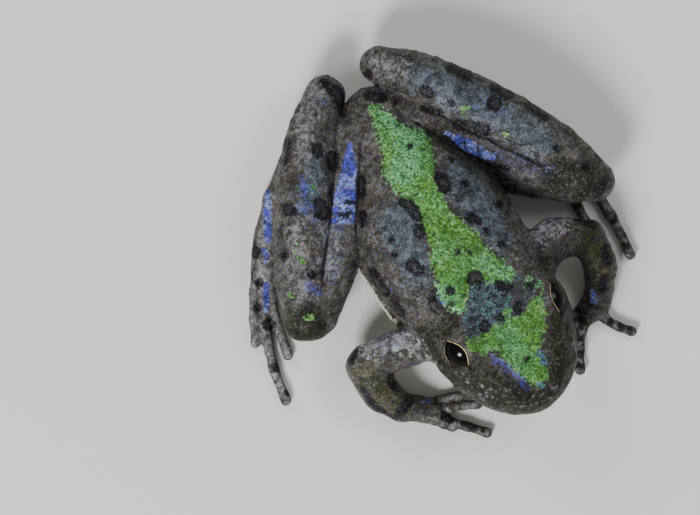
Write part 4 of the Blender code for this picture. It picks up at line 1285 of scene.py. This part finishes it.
def digit_bands():
    """Dark bands round the digits that the photograph doesn't show one by one, at even places along each."""
    bands = []
    for name, rows, *_ in PARTS:
        if name.startswith(BAND_DIGITS):
            for place_along in BAND_PLACES:
                station = rows[int(place_along * (len(rows) - 1))]
                bands.append(((*station[:3], BAND_RADIUS),))
    return tuple(bands)


def narrowed(rows, share):
    """A path as a stroke that is as wide as this share of its radius."""
    return tuple((*row[:3], share * row[3]) for row in rows)


def forearm_strokes():
    """Strokes that cover both forearms."""
    return [narrowed(rows, FOREARM_SHARE) for name, rows in LIMBS.items() if name.startswith("forearm")]


def digit_strokes():
    """Strokes along all toes, over the feet, and narrower ones along the fingers."""
    strokes = []
    for name, rows, *_ in PARTS:
        if "digit" in name:
            strokes.append(narrowed(rows, DIGIT_SHARE if name.startswith("foot") else FINGER_SHARE))
    return strokes + [narrowed(foot[0], DIGIT_SHARE) for foot in FEET.values()]


def lip_distance(points):
    """How far a point of the head is from the edge of the upper lip, in millimetres."""
    line = np.array(LIP_MARK)
    height = np.interp(points[:, 0], line[:, 0], line[:, 1])
    on_head = (points[:, 0] > line[0, 0]) & (body_distance(points) < LIP_REACH)
    found = np.where(on_head, np.abs(points[:, 2] - height) - LIP_HALF_WIDTH, MARK_REACH)
    return np.minimum(found, MARK_REACH)


# Painted shade darkens the skin along this outline, where the lids meet the eyeballs.
def lid_distance(points):
    """How far a point of the skin is from the eyeballs' outline between the lids, in millimetres."""
    found = np.full(len(points), MARK_REACH)
    for side in (-1, 1):
        centre, gaze = eye_frame(side)[:2]
        away = points - centre
        near = (np.linalg.norm(away, axis=1) < LID_RADIUS + LID_NEAR) & (away @ gaze > 0)
        above_eye = np.linalg.norm(away[near], axis=1) - EYE_RADIUS
        found[near] = np.minimum(found[near], np.hypot(lens_distance(away[near], side), above_eye))
    return np.minimum(found, MARK_REACH)


def facing_down(points, normals):
    """How far the skin faces down, which on the eardrums counts as not at all."""
    drum = np.linalg.norm(points * (1, 0, 1) + np.abs(points * (0, 1, 0)) - EARDRUM, axis=1)
    down = -normals[:, 2]
    return np.where(drum < DRUM_REACH, np.minimum(down, DRUM_DOWN), down)


def skin_values(points, normals, warts):
    """What the skin's material reads at each point: distances from the markings in millimetres, how far the
    skin faces down, and the warts."""
    above = seen_from_above(points)
    markings = dict(MARKINGS, tan=forearm_strokes(), digit=digit_strokes(), dark=DARK_MARKS + digit_bands())
    values = {name: marking(above, strokes) for name, strokes in markings.items()}
    wedges = on_thighs(points, marking(above, SHEEN_WEDGE_MARKS))
    values["violet"] = np.minimum(values["violet"], wedges)
    values["lip"] = lip_distance(points)
    # The ways from the eyes' openings and from the creases carry painted shade.
    values["lid"] = lid_distance(points)
    values["crease"] = creases(points)
    values["under"] = facing_down(points, normals)
    values["wart"] = warts
    return values


def mesh_object(name, points, faces, attributes=None):
    """A smooth object of these points, in metres, and faces, with values stored on its points by name."""
    mesh = bpy.data.meshes.new(name)
    mesh.from_pydata(points.tolist(), [], faces)
    mesh.validate()
    for key, values in (attributes or {}).items():
        stored = mesh.attributes.new(key, "FLOAT", "POINT")
        stored.data.foreach_set("value", np.asarray(values, np.float32))
    mesh.shade_smooth()
    made = bpy.data.objects.new(name, mesh)
    bpy.context.scene.collection.objects.link(made)
    return made


class Wiring:
    """Adds nodes to a tree. A value that is a socket is linked, and any other value is set."""

    def __init__(self, tree):
        self.tree = tree

    def feed(self, socket, value):
        """Links or sets one input."""
        if isinstance(value, bpy.types.NodeSocket):
            self.tree.links.new(value, socket)
        else:
            socket.default_value = value

    def add(self, kind, settings=None, **inputs):
        """A node with its settings and its inputs by name, underscores standing for spaces."""
        made = self.tree.nodes.new(kind)
        for key, value in (settings or {}).items():
            setattr(made, key, value)
        for key, value in inputs.items():
            self.feed(made.inputs[key.replace("_", " ")], value)
        return made

    def math(self, operation, *values, clamp=False):
        """The result of one sum."""
        made = self.add("ShaderNodeMath", {"operation": operation, "use_clamp": clamp})
        for socket, value in zip(made.inputs, values):
            self.feed(socket, value)
        return made.outputs[0]

    def times(self, first, second):
        """The product of two values."""
        return self.math("MULTIPLY", first, second)

    def mix(self, share, first, second, blend="MIX"):
        """A colour between two."""
        made = self.add("ShaderNodeMix", {"data_type": "RGBA", "blend_type": blend})
        for place_in, value in zip(MIX_INPUTS, (share, first, second)):
            self.feed(made.inputs[place_in], value)
        return made.outputs[MIX_OUTPUT]

    def ramp(self, value, low, high, bottom=0.0, top=1.0):
        """A soft step: bottom up to low, top from high on."""
        made = self.add("ShaderNodeMapRange", {"interpolation_type": "SMOOTHSTEP"})
        for place_in, number in enumerate((value, low, high, bottom, top)):
            self.feed(made.inputs[place_in], number)
        return made.outputs[0]

    def noise(self, place_at, size, detail):
        """Cloudy noise whose blots are about size millimetres wide."""
        made = self.add("ShaderNodeTexNoise", Vector=place_at, Scale=1 / MM / size, Detail=detail)
        return made.outputs[0]

    def stored(self, name):
        """A value that is stored on the mesh."""
        made = self.add("ShaderNodeAttribute", {"attribute_name": name})
        return made.outputs["Fac"]


def new_group(name, inputs, outputs):
    """A shader node group with number, vector or colour sockets by name."""
    group = bpy.data.node_groups.new(name, "ShaderNodeTree")
    for in_out, sockets in (("INPUT", inputs), ("OUTPUT", outputs)):
        for label, kind in sockets:
            group.interface.new_socket(label, in_out=in_out, socket_type=f"NodeSocket{kind}")
    start = group.nodes.new("NodeGroupInput")
    end = group.nodes.new("NodeGroupOutput")
    return group, Wiring(group), start.outputs, end.inputs


def granule_group():
    """Round granules packed side by side. Tone and Fleck are two random numbers for each granule, and
    Height is a dome over each."""
    group, wires, given, out = new_group(
        "skin granules",
        (("Place", "Vector"), ("Per Metre", "Float")),
        (("Tone", "Float"), ("Fleck", "Float"), ("Height", "Float")),
    )
    cells = wires.add(
        "ShaderNodeTexVoronoi", {"feature": "F1"}, Vector=given["Place"], Scale=given["Per Metre"]
    )
    parts = wires.add("ShaderNodeSeparateColor", Color=cells.outputs["Color"])
    dome = wires.math("SUBTRACT", 1.0, wires.math("POWER", cells.outputs["Distance"], 2.0), clamp=True)
    wires.feed(out["Tone"], parts.outputs[0])
    wires.feed(out["Fleck"], parts.outputs[1])
    wires.feed(out["Height"], dome)
    return group


def edge_group():
    """A marking's share at a point: 1 well inside, 0 well outside, and in between each granule is in or out
    as its own random number falls, with the outline wandering by Wander."""
    names = ("Distance", "Tone", "Wander", "Ragged", "Soft")
    group, wires, given, out = new_group(
        "ragged edge", [(name, "Float") for name in names], (("Share", "Float"),)
    )
    jump = wires.times(wires.math("SUBTRACT", given["Tone"], 0.5), given["Ragged"])
    level = wires.math("ADD", wires.math("ADD", given["Distance"], jump), given["Wander"])
    share = wires.ramp(level, wires.times(given["Soft"], -1.0), given["Soft"], 1.0, 0.0)
    wires.feed(out["Share"], share)
    return group


def new_material(name):
    """A material with its wiring, its shader and the place of the point being shaded."""
    material = bpy.data.materials.new(name)
    material.use_nodes = True
    wires = Wiring(material.node_tree)
    place_at = wires.add("ShaderNodeTexCoord").outputs["Object"]
    return material, wires, material.node_tree.nodes["Principled BSDF"], place_at


def set_constants(shader, constants):
    """Sets a shader's constant sockets by name."""
    for name, value in constants.items():
        shader.inputs[name].default_value = value


def colour_reader(settings):
    """What reads a colour of the settings by its name, and adds that it is opaque."""
    return lambda name: (*getattr(settings, name), 1.0)


class SkinPaint:
    """The values that the skin's colours are mixed by, and the ways in which they are mixed."""

    def __init__(self, wires, place_at, settings):
        self.wires = wires
        self.colour = colour_reader(settings)
        self.edges = edge_group()
        self.values = {}
        grains = granule_group()
        for name, size in GRANULE_SIZES.items():
            made = wires.add(
                "ShaderNodeGroup", {"node_tree": grains}, Place=place_at, Per_Metre=1 / MM / size
            )
            for output in ("Tone", "Fleck", "Height"):
                self.values[f"{name} {output.lower()}"] = made.outputs[output]
        for name, (size, detail) in NOISES.items():
            self.values[name] = wires.noise(place_at, size, detail)
        self.wander = wires.times(wires.math("SUBTRACT", self.values["blot"], 0.5), WANDER)

    def step(self, name, low, high, top=1.0, bottom=0.0):
        """A soft step of a granule's, noise's or stored value: bottom up to low, top from high on."""
        value = self.values[name] if name in self.values else self.wires.stored(name)
        return self.wires.ramp(value, low, high, bottom, top)

    def share(self, name, greatest=None):
        """A marking's share as EDGES says, but for another greatest share where one is given."""
        grain, ragged, soft, most, roam = EDGES[name]
        made = self.wires.add(
            "ShaderNodeGroup", {"node_tree": self.edges}, Distance=self.wires.stored(name),
            Tone=self.values[grain], Wander=self.wires.times(self.wander, roam), Ragged=ragged, Soft=soft,
        )
        return self.wires.times(made.outputs["Share"], most if greatest is None else greatest)

    def over(self, base, share, name):
        """A base with a share of a colour, given by its name, mixed in."""
        return self.wires.mix(share, base, self.colour(name))

    def flecked(self, base, rows):
        """A base with a table's colours mixed in, one after another."""
        for name, low, high, most, colour in rows:
            base = self.over(base, self.step(name, low, high, most), colour)
        return base


def ground_colour(paint):
    """Taupe and brown with slate patches, the tints of limbs, face and heels, and darker granules."""
    wires = paint.wires
    base = wires.mix(paint.step("cloud", 0.35, 0.65), paint.colour("brown"), paint.colour("taupe"))
    base = paint.flecked(base, GROUND_FLECKS)
    for name in TINTS:
        base = paint.over(base, paint.share(name), name)
    base = paint.flecked(base, DUSK_FLECKS)
    plain = wires.math("SUBTRACT", 1.0, paint.share("olive", OLIVE_BARE))
    pale = wires.times(paint.step("fine fleck", 0.70, 0.98), paint.step("blot", 0.60, 0.40, 0.50, 0.10))
    base = paint.over(base, wires.times(pale, plain), "fleck")
    lighter = wires.times(paint.share("olive", OLIVE_LIGHT), paint.step("coarse fleck", 0.76, 0.98))
    base = paint.over(base, lighter, "taupe")
    freckle = wires.times(paint.share("freckle"), paint.step("spot tone", 0.68, 0.80))
    base = paint.over(base, wires.times(freckle, paint.step("spot height", 0.72, 0.92)), "ash")
    return paint.over(base, paint.step("wart", 0.25, 0.75, 0.45), "dusk")


def night_colour(paint):
    """The patch between the eyes: nearly black, with slate and teal flecks and a russet middle."""
    night = paint.over(paint.colour("night"), paint.step("fine fleck", 0.45, 0.95), "slate")
    teal = paint.wires.times(paint.step("fine tone", 0.60, 0.80, 0.9), paint.step("blot", 0.50, 0.60))
    night = paint.over(night, teal, "teal")
    night = paint.over(night, paint.step("blot", 0.46, 0.36, 0.8), "ink")
    return paint.over(night, paint.share("russet"), "russet")


def leaf_colour(paint):
    """The green of the band, yellowish and bluish, with darker and paler granules."""
    leaf = paint.over(paint.colour("green"), paint.step("cloud", 0.36, 0.66, 0.35), "mint")
    leaf = paint.over(leaf, paint.share("mint"), "mint")
    leaf = paint.flecked(leaf, LEAF_FLECKS)
    return paint.over(leaf, paint.share("deep"), "moss")


def ink_colour(paint):
    """The dark blots and bands, with paler middles and a few slate flecks."""
    middle = paint.wires.math("ADD", paint.wires.stored("dark"), paint.wander)
    ink = paint.over(paint.colour("ink"), paint.wires.ramp(middle, -0.26, -0.42, 0.0, 0.55), "russet")
    return paint.over(ink, paint.step("fine fleck", 0.80, 0.95, 0.3), "slate")


def skin_colour(paint):
    """All of the skin's colours, from the ground up, and on them painted sheen, a painted highlight and
    painted shade.
    """
    wires = paint.wires
    base = wires.mix(paint.share("patch"), ground_colour(paint), night_colour(paint))
    down = wires.math("ADD", wires.stored("under"), wires.times(paint.wander, UNDER_WANDER))
    belly = paint.over(paint.colour("belly"), paint.step("fine tone", 0.3, 0.9), "belly_shade")
    base = wires.mix(wires.ramp(down, 0.10, 0.55), base, belly)
    base = wires.mix(paint.share("green"), base, leaf_colour(paint))
    # The painted sheen of thighs, hands and feet: violet with lighter granules.
    sheen = paint.over(paint.colour("violet"), paint.step("mottle", 0.44, 0.56), "sky")
    sheen = paint.flecked(sheen, SHEEN_FLECKS)
    base = wires.mix(paint.share("violet"), base, sheen)
    # Blue lines and specks of painted sheen.
    blue_sheen = wires.times(paint.share("blue_sheen"), paint.step("coarse fleck", 0.20, 0.60, 1.0, 0.1))
    base = paint.over(base, blue_sheen, "violet")
    # Violet speckles of painted sheen.
    sheen_speckle = wires.times(paint.share("sheen_speckle"), paint.step("fine tone", 0.60, 0.88, 0.42))
    base = wires.mix(sheen_speckle, base, sheen)
    base = wires.mix(paint.share("dark"), base, ink_colour(paint))
    # Painted shade along the creases where flank and shank lie on the thighs.
    base = paint.over(base, paint.step("crease", 0.24, 0.10, 0.92), "ink")
    # Painted highlight along the edge of the right flank's fold.
    base = paint.over(base, paint.share("seam"), "seam")
    lip = wires.times(paint.step("lip", 0.10, 0.0), paint.step("blot", 0.35, 0.6))
    base = paint.over(base, lip, "pale")
    # Painted shade round the eyes' openings, where the lids meet the eyeballs.
    base = paint.over(base, paint.step("lid", 0.22, 0.08, 0.8), "ink")
    # Painted shade in the hollows between the granules.
    gap_shade = paint.step("coarse height", 0.50, 0.85, 1.0, 0.62)
    gap_shade = wires.add("ShaderNodeCombineColor", Red=gap_shade, Green=gap_shade, Blue=gap_shade).outputs[0]
    return wires.mix(1.0, base, gap_shade, "MULTIPLY")


def skin_material(settings):
    """Moist granular skin: taupe with slate patches and darker granules, a ragged band of green, dark blots
    with paler middles, pale patches, violet patches of painted sheen, a painted highlight along the right
    flank's fold, painted shade along the creases, round the eyes' openings and between the granules, and a
    whitish underside."""
    material, wires, shader, place_at = new_material("frog skin")
    paint = SkinPaint(wires, place_at, settings)
    fine_height = wires.times(paint.values["fine height"], FINE_BUMP)
    height = wires.math("ADD", paint.values["coarse height"], fine_height)
    bump = wires.add("ShaderNodeBump", Strength=BUMP_STRENGTH, Distance=BUMP_HEIGHT * MM, Height=height)
    wires.feed(shader.inputs["Base Color"], skin_colour(paint))
    wires.feed(shader.inputs["Roughness"], paint.step("coarse tone", 0.0, 1.0, *SKIN_ROUGHNESS))
    wires.feed(shader.inputs["Normal"], bump.outputs[0])
    set_constants(shader, SKIN_SHADER)
    return material


def eye_material(settings):
    """A wet dark eye: a wide level pupil, and an iris of dark bronze with a few gold flecks. The wet film
    is thickest on top, and thins out down the sides."""
    material, wires, shader, place_at = new_material("frog eye")
    colour = colour_reader(settings)
    threads = wires.noise(place_at, THREAD_SIZE, 3.0)
    iris = wires.mix(wires.ramp(threads, 0.52, 0.75), colour("bronze"), colour("gold"))
    from_pupil = wires.stored("pupil")
    ring = wires.times(wires.ramp(from_pupil, 0.00, 0.02), wires.ramp(from_pupil, 0.07, 0.04))
    base = wires.mix(wires.times(ring, RING_SHARE), iris, colour("gold"))
    base = wires.mix(wires.ramp(from_pupil, 0.02, -0.02), base, PUPIL_BLACK)
    wires.feed(shader.inputs["Base Color"], base)
    wires.feed(shader.inputs["Coat Weight"], wires.ramp(wires.stored("height"), 0.62, 0.86, 0.12, 1.0))
    set_constants(shader, EYE_SHADER)
    return material


def rim_material(settings):
    """The pale gold edge of the lids, brightest along the upper one."""
    material, wires, shader, place_at = new_material("lid rim")
    colour = colour_reader(settings)
    stretches = wires.noise(place_at, STRETCH_SIZE, 2.0)
    bright = wires.times(wires.stored("bright"), wires.ramp(stretches, 0.30, 0.50, 0.5, 1.0))
    wires.feed(shader.inputs["Base Color"], wires.mix(bright, colour("rim_shade"), colour("rim")))
    wires.feed(shader.inputs["Roughness"], wires.ramp(stretches, 0.3, 0.7, 0.45, 0.25))
    return material


def colour_property(name, description, default):
    """A colour that a user may change."""
    return FloatVectorProperty(
        name=name, description=description, default=default, subtype="COLOR", size=3, min=0, max=1,
    )


def length_property(name, description, default, **limits):
    """A length that a user may change."""
    return FloatProperty(
        name=name, description=description, default=default, subtype="DISTANCE", unit="LENGTH", **limits,
    )


class FrogSkinSettings(bpy.types.PropertyGroup):
    """The sizes and colours of the skin."""

    grid_step: length_property(
        "Net spacing", "Distance between the net's points over the body", 0.00024, min=0.0001, precision=5,
    )
    settling: IntProperty(
        name="Settling rounds", description="How often the net is evened out along the skin",
        default=3, min=0,
    )
    brown: colour_property("Brown", "Flanks and limbs", (0.070, 0.064, 0.052))
    taupe: colour_property("Taupe", "Lighter clouds in the brown", (0.125, 0.118, 0.105))
    slate: colour_property("Slate", "Bluish grey of the back", (0.092, 0.120, 0.158))
    olive: colour_property("Olive", "Snout and knees", (0.014, 0.0145, 0.006))
    dusk: colour_property("Dusk", "Darker granules", (0.010, 0.011, 0.010))
    fleck: colour_property("Fleck", "Pale granules", (0.18, 0.182, 0.18))
    russet: colour_property("Russet", "Middles of the dark spots", (0.040, 0.032, 0.036))
    teal: colour_property("Teal", "Flecks between the eyes", (0.060, 0.260, 0.170))
    green: colour_property("Green", "The band's yellowish green", (0.100, 0.250, 0.032))
    mint: colour_property("Mint", "The band's bluish green", (0.130, 0.400, 0.180))
    moss: colour_property("Moss", "Darker granules of the band", (0.022, 0.080, 0.012))
    dew: colour_property("Dew", "Palest granules of the band", (0.32, 0.55, 0.34))
    # Violet and sky are the colours of painted sheen on thighs, hands, feet, snout and shanks.
    violet: colour_property("Violet", "Sheen of the thighs and hands", (0.050, 0.055, 0.40))
    sky: colour_property("Sky", "Lighter granules of the sheen", (0.18, 0.23, 0.56))
    night: colour_property("Night", "The patch between the eyes", (0.026, 0.036, 0.045))
    # Ink also paints the shade along the creases and round the eyes' openings.
    ink: colour_property("Ink", "Blots and bands", (0.005, 0.004, 0.006))
    pale: colour_property("Pale", "Upper arms and lips", (0.34, 0.345, 0.355))
    warm: colour_property("Warm", "Brown flecks of the ground colour", (0.105, 0.070, 0.040))
    lilac: colour_property("Lilac", "Violet-grey flecks of the ground colour", (0.105, 0.100, 0.150))
    ash: colour_property("Ash", "Grey of the heels and freckles", (0.22, 0.222, 0.225))
    tan: colour_property("Tan", "Forearms", (0.062, 0.062, 0.020))
    digit: colour_property("Digit", "Fingers and toes between their bands", (0.23, 0.228, 0.225))
    # A painted highlight along the fold's edge.
    seam: colour_property("Seam", "Edge of the fold along the right flank", (0.50, 0.48, 0.42))
    belly: colour_property("Belly", "Underside", (0.52, 0.49, 0.42))
    belly_shade: colour_property("Belly shade", "Darker granules of the underside", (0.34, 0.31, 0.26))


class FrogEyeSettings(bpy.types.PropertyGroup):
    """The sizes and colours of the eyes."""

    rings: IntProperty(name="Rings", description="Rings of points from the pupil back", default=72, min=8)
    pupil_long: length_property("Pupil length", "Half the pupil's level width", 0.00100, precision=5)
    pupil_high: length_property("Pupil height", "Half the pupil's upright width", 0.00082, precision=5)
    rim_radius: length_property("Rim radius", "Half the rim's thickness", 0.000028, precision=6)
    bronze: colour_property("Bronze", "The iris", (0.006, 0.0045, 0.003))
    gold: colour_property("Gold", "Flecks of the iris", (0.022, 0.014, 0.006))
    rim: colour_property("Rim", "The pale edge of the lids", (0.70, 0.52, 0.26))
    rim_shade: colour_property("Rim shade", "Darker stretches of that edge", (0.045, 0.035, 0.020))


class FrogStageSettings(bpy.types.PropertyGroup):
    """The floor, the lights and the camera."""

    floor_size: length_property("Floor size", "Length of each side of the floor", 1.2, min=0.1)
    floor_colour: colour_property("Floor colour", "Plain pale colour of the floor", (0.62, 0.61, 0.58))
    lens: FloatProperty(name="Lens", description="Focal length", default=300.0, unit="CAMERA", min=10)
    tilt: FloatProperty(
        name="Tilt", description="How far the camera leans towards the frog's right", default=radians(8),
        subtype="ANGLE", unit="ROTATION",
    )


class FROG_OT_skin(bpy.types.Operator):
    """Makes the whole skin as one piece"""

    bl_idname = "frog.skin"
    bl_label = "Make skin"

    def execute(self, context):
        settings = context.scene.frog_skin
        points, triangles = net_surface(settings.grid_step / MM)
        points = settle(points, triangles, settings.settling)
        for places in (fine_places, finest_places):
            points, triangles = halve_edges(points, triangles, places(points))
            points = settle(points, triangles, settings.settling)
        normals = steepest(points)
        points, warts = raise_warts(points, normals)
        points = points + (unevenness(points) * calm_places(points))[:, None] * normals
        skin = mesh_object("skin", place(points), triangles.tolist(), skin_values(points, normals, warts))
        skin.data.materials.append(skin_material(settings))
        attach(skin, "root")
        flesh = [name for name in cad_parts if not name.startswith("eye")]
        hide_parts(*flesh)
        return {"FINISHED"}


def ring_faces(row, next_row, size):
    """Four-sided faces between rings of size points, by the numbers that each ring and the next start at."""
    column = np.arange(size)
    following = (column + 1) % size
    corners = (row + column, next_row + column, next_row + following, row + following)
    return np.stack(corners, axis=-1).reshape(-1, 4).tolist()


def eyeball(rings, side):
    """A ball of rings round the way that the eye looks: the polar angle runs from the pupil to the back,
    and the second angle round it. Gives points, faces, and each point's way from the centre."""
    centre, gaze, long, upright = eye_frame(side)
    turns = 2 * rings
    polar = np.linspace(0, pi, rings + 1)[1:-1]
    around = np.arange(turns) * 2 * pi / turns
    p, a = np.meshgrid(polar, around, indexing="ij")
    ball = (
        np.cos(p)[..., None] * gaze
        + (np.sin(p) * np.cos(a))[..., None] * long
        + (np.sin(p) * np.sin(a))[..., None] * upright * side
    ).reshape(-1, 3)
    away = EYE_RADIUS * np.vstack([ball, gaze, -gaze])
    row = np.arange(rings - 2)[:, None] * turns
    front, back = len(away) - 2, len(away) - 1
    column = np.arange(turns)
    following = (column + 1) % turns
    last = (rings - 2) * turns
    first_cap = np.column_stack([np.full(turns, front), column, following])
    last_cap = np.column_stack([last + following, last + column, np.full(turns, back)])
    faces = ring_faces(row, row + turns, turns) + first_cap.tolist() + last_cap.tolist()
    return centre + away, faces, away


def lid_rim(radius, side, steps=180, sides=10):
    """A thin round rim carried along the outline between the lids. With a running from the front corner
    round, the path lies at half the opening's length times cos a along, and the lid's height times
    1 - |cos a|^OPENING_POWER up, on a ball just outside the eyeball. The rim thins towards both corners and
    along the lower lid. Also gives how bright the rim is at each point."""
    centre, gaze, long, upright = eye_frame(side)
    turns = np.arange(steps) * 2 * pi / steps
    along = OPENING_LONG * np.cos(turns)
    upper = np.sin(turns) > 0
    height = np.where(upper, OPENING_UPPER, -OPENING_LOWER)
    up = height * (1 - np.abs(np.cos(turns)) ** OPENING_POWER)
    out = np.sqrt((EYE_RADIUS + RIM_OUT) ** 2 - along**2 - up**2)
    path = along[:, None] * long + up[:, None] * upright + out[:, None] * gaze
    ahead = np.roll(path, -1, axis=0) - np.roll(path, 1, axis=0)
    ahead /= np.linalg.norm(ahead, axis=1)[:, None]
    outward = path / np.linalg.norm(path, axis=1)[:, None]
    across = np.cross(ahead, outward)
    thin = (RIM_CORNER + (1 - RIM_CORNER) * np.abs(np.sin(turns))) * np.where(upper, 1.0, RIM_LOWER)
    around = np.arange(sides) * 2 * pi / sides
    ring = np.cos(around)[:, None] * across[:, None, :] + np.sin(around)[:, None] * outward[:, None, :]
    points = centre + path[:, None, :] + radius * thin[:, None, None] * ring
    row = np.arange(steps)[:, None] * sides
    lower = RIM_GLINT * bell(turns, RIM_GLINT_AT, RIM_GLINT_WIDTH)
    bright = np.where(upper, np.clip(RIM_RISE * np.sin(turns), 0, 1), lower)
    faces = ring_faces(row, np.roll(row, -1, axis=0), sides)
    return points.reshape(-1, 3), faces, np.repeat(bright, sides)


class FROG_OT_eyes(bpy.types.Operator):
    """Makes both eyeballs and the pale edges of the lids round them"""

    bl_idname = "frog.eyes"
    bl_label = "Make eyes"

    def execute(self, context):
        settings = context.scene.frog_eye
        material = eye_material(settings)
        rim_finish = rim_material(settings)
        for side, word in ((-1, "right"), (1, "left")):
            points, faces, away = eyeball(settings.rings, side)
            gaze, long, upright = eye_frame(side)[1:]
            along, up = away @ long * MM / settings.pupil_long, away @ upright * MM / settings.pupil_high
            pupil = (np.hypot(along, up) - 1) * settings.pupil_high / MM
            pupil[away @ gaze < 0] = MARK_REACH
            values = {"pupil": pupil, "height": away[:, 2] / EYE_RADIUS}
            eye = mesh_object(f"eyeball_{word}", place(points), faces, values)
            eye.data.materials.append(material)
            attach(eye, "root")
            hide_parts(f"eye_{word}")
            points, faces, bright = lid_rim(settings.rim_radius / MM, side)
            rim = mesh_object(f"lid_rim_{word}", place(points), faces, {"bright": bright})
            rim.data.materials.append(rim_finish)
            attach(rim, "root")
        return {"FINISHED"}


class FROG_OT_stage(bpy.types.Operator):
    """Makes the floor, the lights and the camera"""

    bl_idname = "frog.stage"
    bl_label = "Make stage"

    def execute(self, context):
        settings = context.scene.frog_stage
        half = settings.floor_size / 2
        corners = np.array([(-half, -half, 0), (half, -half, 0), (half, half, 0), (-half, half, 0)])
        floor = mesh_object("floor", corners, [[0, 1, 2, 3]])
        material = bpy.data.materials.new("floor")
        material.use_nodes = True
        shader = material.node_tree.nodes["Principled BSDF"]
        set_constants(shader, {"Base Color": (*settings.floor_colour, 1), "Roughness": FLOOR_ROUGHNESS})
        floor.data.materials.append(material)
        place_camera(context, settings)
        place_lights(context)
        return {"FINISHED"}


def place_camera(context, settings):
    """A camera over the frog's right side: the picture's right is IMAGE_RIGHT of the frog's forward and
    left, and the distance gives PIXEL millimetres a pixel at AIM."""
    data = bpy.data.cameras.new("camera")
    data.lens = settings.lens
    data.sensor_width = SENSOR
    distance = WIDTH_PIXELS * PIXEL * settings.lens / SENSOR
    looking = turn((0, sin(settings.tilt), -cos(settings.tilt))).normalized()
    right = turn((*IMAGE_RIGHT, 0))
    right = (right - looking * right.dot(looking)).normalized()
    above = right.cross(looking)
    camera = bpy.data.objects.new("camera", data)
    bpy.context.scene.collection.objects.link(camera)
    aim = Vector(place(np.array([AIM]))[0])
    rotation = Matrix((right, above, -looking)).transposed().to_4x4()
    camera.matrix_world = Matrix.Translation(aim - looking * distance * MM) @ rotation
    data.clip_start = CLIP_START
    context.scene.camera = camera


def place_lights(context):
    """Three wide soft lights and an even pale surround."""
    middle = Vector(place(np.array([AIM]))[0])
    for name, offset, size, power in LIGHTS:
        data = bpy.data.lights.new(name, "AREA")
        data.shape = "DISK"
        data.size = size
        data.energy = power
        light = bpy.data.objects.new(name, data)
        context.scene.collection.objects.link(light)
        light.location = middle + Vector(offset)
        light.rotation_euler = (-Vector(offset)).to_track_quat("-Z", "Y").to_euler()
    world = bpy.data.worlds.new("surround")
    world.use_nodes = True
    set_constants(world.node_tree.nodes["Background"], SURROUND)
    context.scene.world = world


class FROG_PT_panel(bpy.types.Panel):
    """Lists the frog's pieces"""

    bl_label = "Resting cricket frog"
    bl_idname = "FROG_PT_panel"
    bl_space_type = "VIEW_3D"
    bl_region_type = "UI"
    bl_category = "Frog"

    def draw(self, context):
        for key in SETTINGS:
            settings = getattr(context.scene, key)
            for name in settings.__annotations__:
                self.layout.prop(settings, name)
        for operator in OPERATORS:
            self.layout.operator(operator.bl_idname)


SETTINGS = {"frog_skin": FrogSkinSettings, "frog_eye": FrogEyeSettings, "frog_stage": FrogStageSettings}
OPERATORS = (FROG_OT_skin, FROG_OT_eyes, FROG_OT_stage)


def register():
    """Registers the settings, operators and panel."""
    for key, group in SETTINGS.items():
        bpy.utils.register_class(group)
        setattr(bpy.types.Scene, key, PointerProperty(type=group))
    for operator in OPERATORS:
        bpy.utils.register_class(operator)
    bpy.utils.register_class(FROG_PT_panel)


def unregister():
    """Takes them out again."""
    bpy.utils.unregister_class(FROG_PT_panel)
    for operator in reversed(OPERATORS):
        bpy.utils.unregister_class(operator)
    for key, group in SETTINGS.items():
        delattr(bpy.types.Scene, key)
        bpy.utils.unregister_class(group)


def main():
    """Makes every piece."""
    register()
    bpy.ops.frog.skin()
    bpy.ops.frog.eyes()
    bpy.ops.frog.stage()


if __name__ == "__main__":
    main()
